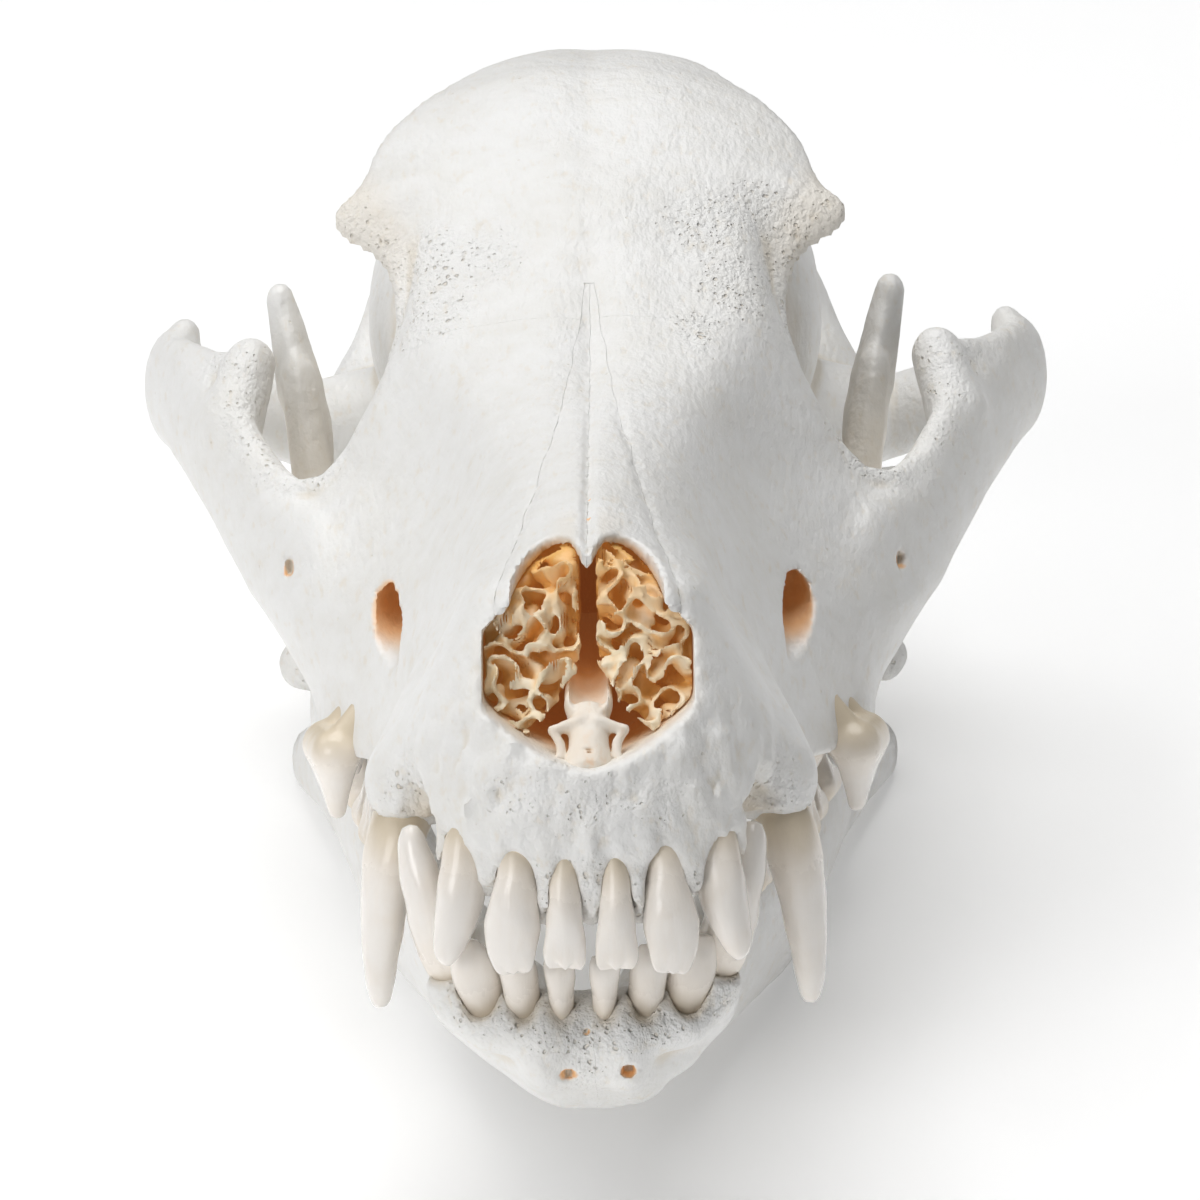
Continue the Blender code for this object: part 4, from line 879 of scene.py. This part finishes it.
# the lower jaw's left half, mirrored for the right
lowerJaw = {
    "bars": {
        "body": (((6.2, 24, -21.2), (10.8, 45, -21.6), (16.0, 66, -22.2), (20.8, 86, -21.8),
                  (25.2, 104, -17.0), (28.2, 112, -11)), (7.4, 9.6, 10.8, 12.0, 11.4, 10),
                 (1, -0.3, -0.3), 0.44, 3.0),
        "front": (((4.6, 9, -18.5), (6.2, 24, -21.2)), (5.2, 7.4), alongX, 0.5, 3.0),
        "symphysis": (((1.2, 9.5, -18.5), (1.2, 20, -23.2), (1.2, 31, -26.2)), (5.2, 5.4, 4.2),
                      alongX, 1.0, 4.0),
        "incisor ridge": (((4, 7.6, -17.0), (9.0, 9.6, -16.4)), (4.0, 4.2), alongZ, 0.8, 3.0),
        "canine root": (((12.2, 12.5, -13.2), (8.4, 29, -21.0)), (4.2, 4.0), alongX, 1.0, 4.0),
        "chin side": (((10.6, 15.5, -16.4), (7.8, 16, -19.4), (4.4, 18, -22.0)), (4.6, 5.1, 4.8),
                      alongX, 1.0, 4.0),
        "coronoid tip": (((35.0, 126.8, 33), (37.1, 126.8, 43.6)), (3.4, 2.1), alongX, 0.8, 3.0),
        "ramus": (((29.2, 122, -4), (34.0, 127, 30)), (17.5, 8.8), (1, 0, -0.12), 0.16, 4.0),
        "coronoid": (((34.0, 127, 28), (35.6, 127.6, 37.5)), (8.6, 5.2), (1, 0, -0.12), 0.32, 3.0),
        "front edge": (((27.6, 107, -8), (32.4, 115.5, 20), (34.8, 122.0, 35)),
                       (3.4, 2.8, 2.0), alongX, 1.0, 3.0),
        "condyle neck": (((31.0, 132, -6), (32.0, 146, -6)), (9.5, 5.2), alongX, 0.45, 5.0),
        "condyle": (((24.8, 148, -6.4), (36.4, 147, -5.4)), (3.7, 3.3), alongY, 1.0, 4.0),
        "angle": (((24.8, 108, -20.8), (32.2, 134, -16.0), (36.6, 148.0, -18.0)), (6.2, 6.6, 3.8),
                  alongX, 0.5, 6.0),
    },
    "muscleHollow": ((41.5, 124, 3), (8.5, 14, 16), (0, 8, 0)),
    "chinPlane": ((-0.585, -0.224, -0.78), 20.2),   # cuts the chin on the animal's right
    "seam": 1.2,          # where the two halves meet, beside the middle
    "gap": 0.02,
    "wave": (2.0, 0.35),  # size and height of the seam's waves
    "holes": (((-1.7, 5.0, -21.2), (0.75, 2.2, 0.75)), ((4.5, 4.4, -20.6), (0.8, 2.2, 0.75)),
              ((-1.6, 4.4, -18.6), (0.3, 1.6, 0.25)), ((0.2, 4.2, -16.4), (0.5, 1.6, 0.25))),
    "rough": (((0, 6, -15.5), (14, 7, 4.0)), ((0, 4, -21), (2.0, 6, 9)), ((13, 15, -14.5), (5, 9, 3.5)),
              ((20, 62, -13.5), (9, 38, 2.5)), ((36, 148, -10), (6, 6, 12))),
    "box": ((-4.5, -4, -50), (58, 160, 56)),
    "spacing": 0.62,
}


def jawRoughField(room):
    return roughness(room, [room.dome(*spot) for spot in lowerJaw["rough"]], 6.0, -2.6, 1.6)


def jawField(room):
    body = None
    for points, radii, flat, thin, blend in lowerJaw["bars"].values():
        bar = room.bar(points, radii, flat, thin)
        body = bar if body is None else body.join(bar, blend)
    body = body.without(room.dome(*lowerJaw["muscleHollow"]), 2.0)
    (across, back, up), reach = lowerJaw["chinPlane"]
    body = body.meet(room.side * across + room.y * back + room.z * up - reach, 2.4)
    body = body + room.whole.noise(15.0, 1.0) * 0.7 + room.whole.noise(5.0, 1.0) * 0.2
    body = body + room.whole.noise(1.9, 2.0) * 0.7 * jawRoughField(room)
    for tooth in lowerFrontTeeth.values():
        body = body.without(socketField(room, tooth["rings"], tooth["scallop"]), 0.35)
    for middle, radii in lowerJaw["holes"]:
        body = body.without(room.dome(middle, radii, place=room.whole), 0.25)
    lean = math.radians(stance["lean"])
    height = room.z * math.cos(lean) - room.y * math.sin(lean) + stance["shift"][2]
    return body.meet(0.05 - height, 0.3)


def jawHalf(side):
    # the room of one half of the jaw, up to the wavy seam in the chin
    heights = [-60.0] + [-34.0 + step for step in range(26)] + [60.0]
    seam = lowerJaw["seam"] + side * lowerJaw["gap"] / 2
    rings = []
    for y in [-8.0 + step for step in range(56)] + [170.0]:
        rings.append([(seam, y, z) for z in heights] + [(side * 80, y, 60), (side * 80, y, -60)])
    return loft("jawHalf", rings, *lowerJaw["wave"])


# the nose's thin bone: scrolled sheets on each side, and the trough between them
scrolls = {
    "cell": 4.7,          # width of a cell across, and twice that from front to back
    "sheet": 0.46,        # a sheet's share of a cell
    "curl": 2.7,          # how far the sheets wander
    "ragged": 0.36,       # how rough they are
    "warp": 4.2,          # size of their bends
    "slant": (20.0, 0.5), # the front's slope, from this height up
    "middle": (18.6, 1.25, 0.95),     # height below which they leave the middle, how fast, and the gap
    "end": 29.0,
    "box": ((0.4, 7, 8.5), (12, 30, 32)),
    "front": 10.5,
    "back": 24.5,
    "inset": 0.12,        # gap to the wall of the nose
    "spacing": 0.27,
}
vomer = {
    "trough": (((0.2, 9, 16.9), (0.3, 34, 21.5)), (2.3, 1.7)),
    "bed": (((0.2, 7, 18.0), (0.3, 36, 22.8)), (1.8, 1.2)),
    "column": (((0.15, 3.0, 10.4), (0.15, 4.9, 13.0), (0.15, 8.0, 15.6)), (2.6, 1.9, 1.9)),
    "wing": (((1.0, 6.4, 15.4), (3.7, 6.0, 14.9)), (1.0, 0.42)),
    "ear": (((3.7, 6.0, 14.9), (2.9, 5.3, 13.7), (2.8, 4.6, 12.7), (3.2, 4.0, 11.9)), (0.45, 0.5, 0.5, 0.55)),
    "groove": (((0.15, 2.6, 12.0), (0.15, 6.0, 15.2)), (0.35, 0.3)),
    "lip": (18.2, 9.0, 0.16),     # height of the trough's lip, where, and its slope
    "box": ((-6, 0, 7), (6, 36, 24)),
    "spacing": 0.25,
}


def scrollField(side):
    def shape(room):
        values = {"Vector": room.whole.scaled(1 / scrolls["warp"]), "Scale": 1.0, "Detail": 1.0}
        drift = room.whole.node("ShaderNodeTexNoise", values, 1).move("SUBTRACT", (0.5, 0.5, 0.5))
        place = room.whole.move("ADD", drift.scaled(2.0 * scrolls["curl"]))
        x, y, z = (place.node("ShaderNodeSeparateXYZ", {0: place}, out) for out in range(3))
        turn = math.tau / scrolls["cell"]
        pairs = ((x * turn, y * turn * 0.5), (y * turn * 0.5, z * turn), (z * turn, x * turn))
        waves = reduce(Wire.__add__, [first.calc("SINE") * second.calc("COSINE") for first, second in pairs])
        sheets = (waves.calc("ABSOLUTE") - scrolls["sheet"]) * scrolls["cell"] / 9.0
        sheets = sheets + room.whole.noise(1.3, 2.0) * scrolls["ragged"]
        sheets = sheets.join(scrolls["back"] - room.y, 1.0)
        height, slope, gap = scrolls["middle"]
        inner = (height - room.z).most(0.0) * slope + gap + room.whole.noise(3.0, 2.0) * 1.2
        height, slope = scrolls["slant"]
        front = scrolls["front"] - room.y + (room.z - height) * slope + room.whole.noise(4.0, 3.0) * 7.5
        sheets = sheets.meet(inner - room.side * side, 0.3).meet(front, 0.3)
        sheets = sheets.without(vomerField(room, 0.5), 0.2)
        return sheets.meet(noseRoom(room, scrolls["inset"]), 0.2).meet(room.y - scrolls["end"], 0.3)
    return shape


def vomerField(room, spare=0.0):
    # the channel along the middle of the nose, and the winged column in front of it
    def bar(name, *flat):
        points, radii = vomer[name]
        return room.bar(points, [radius + spare for radius in radii], *flat)

    trough, column = bar("trough"), bar("column", alongY, 0.5)
    for name in ("wing", "ear"):
        column = column.join(bar(name, alongY, 0.8), 0.6)
    if not spare:
        trough = trough.without(bar("bed"), 0.35)
        height, place, slope = vomer["lip"]
        lip = room.z - height - (room.y - place) * slope + room.whole.noise(2.0, 2.0) * 0.6
        trough = trough.meet(lip, 0.3)
        column = column.without(bar("groove"), 0.3)
    return trough.join(column, 0.9)


def vomerShape(room):
    return vomerField(room).meet(noseRoom(room, -0.2), 0.2) + room.whole.noise(1.6, 2.0) * 0.15


# sutures: outlines as (x, y) from above or (y, z) from the side
sutures = {
    "gap": 0.03,
    "crease": 0.42,
    "creaseWidth": 1.0,
    "nasalWidth": ((2, 10.6), (10, 10.0), (17, 8.7), (28, 7.1), (38, 5.8), (50, 4.5), (58, 3.5),
                   (71, 2.6), (92, 0.6)),
    "nasalThick": 3.4,
    "zygomatic": ((93.0, 25.0), (97.5, 16.0), (98.5, 4.0), (154.0, 4.0), (154.0, 20.0), (133.0, 35.0),
                  (131.0, 50.0), (93.0, 50.0)),
    "zygomaticInner": 30.0,
    "reach": 70.0,        # how far to each side a region goes
    "upperJaw": ((-10, -30), (104.5, -30), (104.5, 4), (103, 14), (101, 26), (97, 34), (92, 40),
                 (86, 47), (80, 90), (-10, 90)),
    "waveSize": 2.8,
    "wave": 0.3,
}


def grown(outline, distance):
    # the outline with every side moved out by the distance
    area = sum(a[0] * b[1] - b[0] * a[1] for a, b in zip(outline, outline[1:] + outline[:1]))
    turn = 1 if area > 0 else -1
    points = [Vector(point) for point in outline]
    moved = []
    for before, here, after in zip(points[-1:] + points[:-1], points, points[1:] + points[:1]):
        sides = [(here - before).normalized(), (after - here).normalized()]
        sides = [Vector((side.y, -side.x)) * turn for side in sides]
        middle = (sides[0] + sides[1]).normalized()
        moved.append(here + middle * distance / middle.dot(sides[0]))
    return moved


def evenly(outline, step):
    # the closed outline with a point every step or so
    found = []
    for here, after in zip(outline, outline[1:] + outline[:1]):
        count = max(1, round((after - here).length / step))
        found += [here + (after - here) * i / count for i in range(count)]
    return found


def sideRegion(name, outline, grow, low, high):
    # an outline seen from the side, carried across from low to high with a wavy edge
    outline = evenly(grown(outline, grow), 1.0)
    count = max(2, round(high - low))
    rings = [[(low + (high - low) * i / count, *point) for point in outline] for i in range(count + 1)]
    return loft(name, rings, sutures["waveSize"], sutures["wave"])


def nasalRegion(name, grow, side):
    # the room round one nasal bone, from its underside up
    inner = sutures["gap"] / 2 if grow < 0 else -0.001
    stops = sutures["nasalWidth"]
    steps = 100
    rings = []
    for number in range(steps + 1):
        y = stops[0][0] + (stops[-1][0] - stops[0][0] + grow) * number / steps
        height = level(face["roof"], y) - sutures["nasalThick"] - grow
        width = level(stops, y) + grow
        wave = 0.05 * math.sin(y * 0.9) + 0.04 * math.sin(y * 2.3 + 1.0)
        width = max(width + noise.noise(Vector((side * 7.0, y / 6.0, 0))) * 0.4, 0.4)
        ring = [(inner + wave * side, y, height), (width, y, height - 0.16 * width), (width, y, 70),
                (inner + wave * side, y, 70)]
        rings.append([(side * px, py, pz) for px, py, pz in ring])
    return loft(name, rings)


def craniumMarks(room):
    # where the bone is rough, where it is the stained bone inside a hole, and where it lies deep and gets a
    # cream tint with painted shade
    (back, height), (ahead, up) = nose["plane"]
    opening = (room.y - back) * ahead - (room.z - height) * up
    deep = (1.0 - noseRoom(room).fade(0.35, 1.0)) * opening.fade(2.0, 8.0)
    canal = nearest([room.bar(points, radii) for points, radii, _ in skull["canals"]])
    stain = deep.most((1.0 - canal.fade(0.1, 0.6)) * (room.y + room.z * 0.6).fade(71.0, 79.0) * 0.8)
    gap = 1.0 - room.dome(*skull["toothGap"]).fade(-1.5, 1.5)
    orbit = 1.0 - room.dome(*skull["orbit"]).fade(-1.0, 3.0)
    inside = orbit * room.y.fade(96.0, 108.0) * (1.0 - room.x.fade(33.0, 41.0)) * 0.5
    rim = opening.fade(-1.0, 3.0) * (1.0 - noseRoom(room).fade(0.2, 1.6))
    return {"rough": roughField(room), "stain": stain, "deep": inside.most(gap).most(rim * 0.9)}


def jawMarks(room):
    # rough bone, and a cream tint with painted shade on the blade under the muscle and at the necks of the
    # teeth
    necks = nearest([room.dome(*tooth["scallop"]) for tooth in lowerFrontTeeth.values()])
    blade = room.y.fade(95.0, 118.0) * room.z.fade(-4.0, 14.0) * (1.0 - room.z.fade(14.0, 44.0)) * 0.9
    return {"rough": jawRoughField(room), "deep": blade.most((1.0 - necks.fade(-0.6, 1.0)) * 0.7)}


def scrollMarks(room):
    height, slope = scrolls["slant"]
    front = room.y - scrolls["front"] - (room.z - height) * slope + room.whole.noise(5.0) * 4.0
    top = (room.z + room.whole.noise(5.0) * 5.0).fade(21.0, 31.0) * 0.7
    return {"stain": front.fade(-1.5, 4.5).most(top)}


def vomerMarks(room):
    groove = 1.0 - room.bar(*vomer["groove"]).fade(0.0, 0.5)
    return {"stain": room.y.fade(7.5, 20.0).most(groove * (room.whole.noise(1.3) * 4.0).fade(-0.2, 1.0))}


def toothMarks(way, necks):
    def marks(room):
        return {"root": (room.z - room.y.along(necks)) * way}
    return marks


boneRoughness = 0.42
# pale bone, its warm mottling, painted shade in its hollows, a cream tint with painted shade where it lies
# deep, its pores and its stained inside
looks = {
    "bone": {
        "pale": (0.88, 0.876, 0.862), "warm": (0.83, 0.818, 0.785), "hollowShade": (0.79, 0.735, 0.64),
        "deepCreamShade": (0.84, 0.76, 0.64), "pore": (0.77, 0.67, 0.52), "stain": (0.88, 0.50, 0.20),
        "edge": 0.0, "bump": 0.0005, "glow": 0.03, "grit": 0.3,
        # stained little holes: where, in the skull's own frame, and how large
        "spots": (
            ((-35.2, 85.6, 17.9), 1.0), ((35.4, 85.9, 17.7), 1.05), ((-2.7, 5.6, -21.2), 0.95),
            ((3.5, 5.1, -20.6), 0.95), ((-0.8, 4.6, -16.4), 0.4), ((-4.9, 1.4, 8.2), 0.62),
            ((-6.4, 1.9, 7.9), 0.5), ((-15.6, 8.3, 7.6), 0.6), ((4.2, 1.2, 8.2), 0.5),
            ((5.8, 1.7, 9.0), 0.45), ((13.6, 6.5, 8.0), 0.6), ((0.2, 26.0, 33.2), 0.35),
            ((0.3, 31.5, 34.3), 0.3), ((-22.0, 101.5, 49.5), 0.8), ((-22.4, 99.5, 47.0), 0.7),
        ),
    },
    "scrolled_bone": {
        "pale": (0.94, 0.86, 0.70), "warm": (0.92, 0.76, 0.50), "hollowShade": (0.88, 0.52, 0.18),
        "deepCreamShade": (0.93, 0.85, 0.70), "pore": (0.80, 0.45, 0.18), "stain": (0.84, 0.47, 0.14),
        "edge": 0.12, "bump": 0.0002, "glow": 0.06, "grit": 0.4,
    },
    "inner_bone": {
        "pale": (0.90, 0.85, 0.77), "warm": (0.88, 0.78, 0.66), "hollowShade": (0.86, 0.54, 0.26),
        "deepCreamShade": (0.90, 0.84, 0.75), "pore": (0.80, 0.48, 0.20), "stain": (0.86, 0.48, 0.19),
        "edge": 0.04, "bump": 0.0002, "glow": 0.05, "grit": 0.25,
    },
    "tooth": {
        "enamel": (0.93, 0.89, 0.84), "dentine": (0.88, 0.80, 0.70), "neck": (0.66, 0.55, 0.38),
        "roughness": 0.17, "bump": 0.00006, "coat": 0.25, "coatRoughness": 0.12,
    },
}


def rgb(colour):
    return (*colour, 1.0)


def startFinish(name, roughness):
    made = bpy.data.materials.new(name)
    made.use_nodes = True
    shader = made.node_tree.nodes["Principled BSDF"]
    shader.inputs["Roughness"].default_value = roughness
    start = Wire(made.node_tree)
    return made, shader, start, start.node("ShaderNodeTexCoord", out=3).scaled(1000.0)


def feed(shader, look, tone, matte, height):
    # puts colour, roughness and fine relief in the shader
    bump = tone.node("ShaderNodeBump", {"Strength": 1.0, "Distance": look["bump"], "Height": height})
    for label, wire in (("Base Color", tone), ("Roughness", matte), ("Normal", bump)):
        tone.tree.links.new(wire.socket, shader.inputs[label])


def mark(start, label):
    return start.node("ShaderNodeAttribute", out=2, attribute_name=label)


def boneFinish(name, look):
    made, shader, start, place = startFinish(name, boneRoughness)
    rough, stain, hollow, deep = (mark(start, label) for label in ("rough", "stain", "hollow", "deep"))
    cloud, mottle = place.noise(15.0, 2.0), place.noise(2.6, 3.0)
    fine, hair = place.noise(0.8, 2.0), place.noise(0.3, 0.0)
    tone = (cloud * 0.8 + mottle * 0.7).fade(-0.28, 0.34).mix(rgb(look["pale"]), rgb(look["warm"]))
    # cream tint with painted shade where the bone lies deep: inside the orbits, at the nose's rim, under the
    # jaw's muscle
    tone = (deep + mottle * 0.3 * deep).most(0.0).mix(tone, rgb(look["deepCreamShade"]))
    grit = place.move("MULTIPLY", (1.0, 0.4, 0.6)).noise(0.8, 2.0)
    tone = ((grit + mottle * 0.5).fade(0.05, 0.34) * look["grit"]).mix(tone, rgb(look["pore"]))
    # painted shade: the hollow mask, raised over the whole finish by edge, darkens the bone in creases and
    # recesses
    hollowShadeMask = (hollow + fine * 0.06 + look["edge"]).fade(0.04, 0.34)
    tone = (hollowShadeMask * 0.8).mix(tone, rgb(look["hollowShade"]))
    # pores: small uneven pits where the bone is rough, and a few specks elsewhere
    warp = place.node("ShaderNodeTexNoise", {"Vector": place, "Scale": 1.1, "Detail": 0.0}, 1)
    bent = place.move("ADD", warp.scaled(0.45))
    gate = (rough * (0.12 + mottle * 0.5)).most(0.0)
    small, large = (1.0 - (bent.cells(size) - gate * share).fade(-0.10, 0.09)
                    for size, share in ((0.75, 1.0), (1.3, 1.2)))
    pit = small.most(large) * rough.fade(0.05, 0.4)
    speck = (1.0 - place.cells(3.9).fade(0.03, 0.06)) * (mottle + 0.5)
    tone = (pit * (0.35 + mottle * 0.9)).most(0.0).least(1.0).mix(tone, rgb(look["pore"]))
    tone = (speck * 0.5).mix(tone, rgb(look["pore"]))
    for middle, size in look.get("spots", ()):
        spot = tuple(standing @ (Vector(middle) * mm) / mm)
        away = place.move("SUBTRACT", spot).move("LENGTH", out=1) + fine * 0.5
        stain = stain.most((1.0 - away.fade(size * 0.7, size * 1.15)) * 0.9)
    stain = (stain + mottle * 0.25 * stain).most(0.0).least(1.0)
    tone = stain.mix(tone, rgb(look["stain"]))
    # painted light: the stained bone glows faintly in its stain colour, which lightens it where it lies in
    # shade
    glow = stain.mix((0.0, 0.0, 0.0, 1.0), rgb(look["stain"]))
    glow.tree.links.new(glow.socket, shader.inputs["Emission Color"])
    shader.inputs["Emission Strength"].default_value = look["glow"]
    made.cycles.emission_sampling = "NONE"
    matte = boneRoughness + mottle * 0.16 + rough * 0.14 + pit * 0.1
    relief = fine * (0.14 + rough * 0.65) + hair * (0.03 + rough * 0.1) - pit * 0.5 - speck * 0.3
    feed(shader, look, tone, matte, mottle * 0.5 - grit * 0.35 + relief)
    return made


def toothFinish(name, look):
    # glossy ivory enamel, tan towards the neck, with fine lengthwise growth lines
    made, shader, start, place = startFinish(name, look["roughness"])
    shader.inputs["Coat Weight"].default_value = look["coat"]
    shader.inputs["Coat Roughness"].default_value = look["coatRoughness"]
    root = mark(start, "root")
    cloud, fine = place.noise(4.0, 3.0), place.noise(0.8, 3.0)
    streak = place.move("MULTIPLY", (1.0, 1.0, 0.16)).noise(0.6, 2.0)
    bare = (root + cloud * 2.4).fade(-4.4, 2.4)
    tone = ((cloud + streak * 0.4).fade(-0.2, 0.5) * 0.6).mix(rgb(look["enamel"]), rgb(look["dentine"]))
    tone = bare.mix(tone, rgb(look["dentine"]))
    tone = ((root + cloud * 2.0).fade(-0.6, 3.4) * 0.7).mix(tone, rgb(look["neck"]))
    matte = look["roughness"] + bare * 0.18 + fine * 0.12
    feed(shader, look, tone, matte, streak * 0.7 + fine * 0.5 + cloud * 1.5)
    return made


finishes = {name: boneFinish(name, looks[name]) for name in ("bone", "scrolled_bone", "inner_bone")}
toothLook = toothFinish("tooth_enamel", looks["tooth"])
print("finishes made")


def dress(piece, slot, *nodes):
    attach(piece, "root")
    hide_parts(*nodes)


def makeCranium():
    # the bones of the skull: one field, meshed in a box for each bone and cut along the sutures
    tree, bone = fieldTree("Cranium", craniumField), finishes["bone"]
    marks = markTree("Cranium marks", craniumMarks)
    # each bone's box, grid spacing and CAD node
    bones = {
        "upperJawBone": (((-47, -4, -8), (47, 106.5, 62)), 0.59, "upper_jaw"),
        "braincaseBone": (((-58, 78, -12), (58, 207, 76)), 0.8, "braincase"),
        "nasalBoneLeft": (((-2, -4, 22), (14, 94, 56)), 0.5, "nasal_left"),
        "nasalBoneRight": (((-14, -4, 22), (2, 94, 56)), 0.5, "nasal_right"),
        "cheekBoneLeft": (((28, 90, 2), (60, 157, 52)), 0.55, "zygomatic_left"),
        "cheekBoneRight": (((-60, 90, 2), (-28, 157, 52)), 0.55, "zygomatic_right"),
    }
    made = {name: edited(meshField(name, tree, box, spacing, bone), keepLargest)
            for name, (box, spacing, _) in bones.items()}
    half, reach = sutures["gap"] / 2, sutures["reach"]
    upperJaw, braincase = body = [made["upperJawBone"], made["braincaseBone"]]
    for way, side in ways:
        trim([made["nasalBone" + way]], nasalRegion("nasal", -half, side), "INTERSECT")
        trim(body, nasalRegion("nasalCut", half, side))
        for grow, far, pieces, operation in ((-half, reach, [made["cheekBone" + way]], "INTERSECT"),
                                             (half, reach + 1.0, body, "DIFFERENCE")):
            low, high = sorted((side * (sutures["zygomaticInner"] - grow), side * far))
            region = sideRegion("zygomatic", sutures["zygomatic"], grow, low, high)
            trim(pieces, region, operation)
    trim([upperJaw], sideRegion("upperJaw", sutures["upperJaw"], -half, -reach, reach), "INTERSECT")
    trim([braincase], sideRegion("upperJawCut", sutures["upperJaw"], half, -reach - 1.0, reach + 1.0))
    for name, (*_, node) in bones.items():
        dress(stand(run(made[name], marks, Finish=bone)), "bone", node)
    print("cranium made")


def makeJaw():
    marks = markTree("Jaw marks", jawMarks)
    teethTree = fieldTree("Lower cheek teeth", cheekTeethField(lowerCheekTeeth))
    teethMarks = markTree("Lower teeth marks", toothMarks(-1, lowerNecks))
    moved = Matrix.Translation(Vector((stance["jawShift"], 0, 0)) * mm)
    tree = fieldTree("Lower jaw", jawField)
    for way, side in ways:
        box = mirrored(lowerJaw["box"], side)
        bone = meshField("jawBone" + way, tree, box, lowerJaw["spacing"], finishes["bone"])
        trim([edited(bone, keepLargest)], jawHalf(side), "INTERSECT")
        run(bone, marks, Finish=finishes["bone"])
        box = mirrored(toothMesh["lowerBox"], side)
        cheek = meshField("lowerCheekTeeth" + way, teethTree, box, toothMesh["lowerSpacing"], toothLook)
        run(cheek, teethMarks, Finish=toothLook)
        front = frontTeeth("lowerFrontTeeth" + way, lowerFrontTeeth, (side,), toothLook)
        for piece in (bone, cheek, front):
            piece.data.transform(moved)
            dress(stand(piece), "bone", "mandible_" + way.lower())
    print("lower jaw made")


def makeUpperTeeth():
    tree = fieldTree("Upper cheek teeth", cheekTeethField(upperCheekTeeth))
    marks = markTree("Upper teeth marks", toothMarks(1, upperNecks))
    cheek = meshField("upperCheekTeeth", tree, toothMesh["upperBox"], toothMesh["upperSpacing"], toothLook)
    run(cheek, marks, Finish=toothLook)
    front = frontTeeth("upperFrontTeeth", upperFrontTeeth, (1, -1), toothLook)
    for piece in (cheek, front):
        dress(stand(piece), "bone", "upper_jaw")
    print("upper teeth made")


def makeNose():
    marks, finish = markTree("Scroll marks", scrollMarks), finishes["scrolled_bone"]
    for way, side in ways:
        tree = fieldTree("Scrolls " + way, scrollField(side))
        box = mirrored(scrolls["box"], side)
        piece = meshField("scrolledBone" + way, tree, box, scrolls["spacing"], finish)
        stand(run(edited(piece, keepLargest), marks, Finish=finish))
        dress(piece, "scrolled_bone", "turbinates_" + way.lower())
    tree, finish = fieldTree("Vomer", vomerShape), finishes["inner_bone"]
    piece = meshField("vomerBone", tree, vomer["box"], vomer["spacing"], finish)
    stand(run(edited(piece, keepLargest), markTree("Vomer marks", vomerMarks), Finish=finish))
    dress(piece, "inner_bone", "vomer")
    print("nose made")


makeCranium()
makeJaw()
makeUpperTeeth()
makeNose()

# floor, lights and camera
stage = {
    "floorColour": (0.9, 0.9, 0.9),
    "floorGlow": 0.26,
    "sky": (1.0, 1.0, 1.0),
    "skyStrength": 0.02,
    "aim": (0.0, 0.0, 0.05),
    # place, width, height and power of each soft light
    "lights": {
        "top": ((0.0, 0.1, 1.4), 1.1, 1.1, 13.8),
        "left": ((-0.9, 0.1, 1.1), 0.8, 0.8, 3.4),
        "front": ((-0.8, -1.0, 0.6), 0.7, 0.6, 5.8),
        "back": ((0.0, 1.0, 1.0), 0.8, 0.8, 2.4),
    },
}
camera = {                # in the skull's own frame; middle is the picture's centre of view, in its pixels
    "place": (7.154, -571.519, 135.309),
    "pitch": 10.347, "yaw": -0.649, "roll": -1.013,
    "focal": 5787.5, "middle": (591.96, 585.37), "picture": 1200,
}


def makeStage():
    bpy.ops.mesh.primitive_grid_add(x_subdivisions=4, y_subdivisions=4, size=14.0)
    floor = bpy.context.object
    floor.name = "studioFloor"
    made, shader, *_ = startFinish("studio_floor", 0.7)
    shader.inputs["Base Color"].default_value = rgb(stage["floorColour"])
    shader.inputs["Specular IOR Level"].default_value = 0.1
    shader.inputs["Emission Color"].default_value = rgb(stage["floorColour"])
    shader.inputs["Emission Strength"].default_value = stage["floorGlow"]
    floor.data.materials.append(made)
    floor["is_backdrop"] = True
    world = bpy.data.worlds.new("Studio")
    bpy.context.scene.world = world
    world.use_nodes = True
    sky = world.node_tree.nodes["Background"]
    sky.inputs["Color"].default_value = rgb(stage["sky"])
    sky.inputs["Strength"].default_value = stage["skyStrength"]
    for name, (place, width, height, power) in stage["lights"].items():
        light = bpy.data.lights.new(name, "AREA")
        light.shape, light.size, light.size_y, light.energy = "RECTANGLE", width, height, power
        holder = newPiece(name, light)
        way = Vector(stage["aim"]) - Vector(place)
        holder.matrix_world = Matrix.Translation(place) @ way.to_track_quat("-Z", "Y").to_matrix().to_4x4()
    bpy.context.scene.view_settings.view_transform = "Standard"


def makeCamera():
    pitch, yaw, roll = (math.radians(camera[name]) for name in ("pitch", "yaw", "roll"))
    ahead = Vector((math.sin(yaw) * math.cos(pitch), math.cos(pitch) * math.cos(yaw), -math.sin(pitch)))
    right = Vector((math.cos(yaw), -math.sin(yaw), 0))
    up = right.cross(ahead)
    right, up = right * math.cos(roll) + up * math.sin(roll), up * math.cos(roll) - right * math.sin(roll)
    turned = Matrix((right, up, -ahead)).transposed().to_4x4()
    data = bpy.data.cameras.new("Camera")
    data.sensor_fit, data.sensor_width = "HORIZONTAL", 36.0
    data.lens = camera["focal"] / camera["picture"] * 36.0
    half = camera["picture"] / 2
    data.shift_x = (half - camera["middle"][0]) / camera["picture"]
    data.shift_y = (camera["middle"][1] - half) / camera["picture"]
    data.clip_start = 0.01
    holder = newPiece("Camera", data)
    holder.matrix_world = standing @ Matrix.Translation(Vector(camera["place"]) * mm) @ turned
    bpy.context.scene.camera = holder


makeStage()
makeCamera()
print("stage set")

box = [[list(map(float, corner)) for corner in found] for found in (cadBox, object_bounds())]
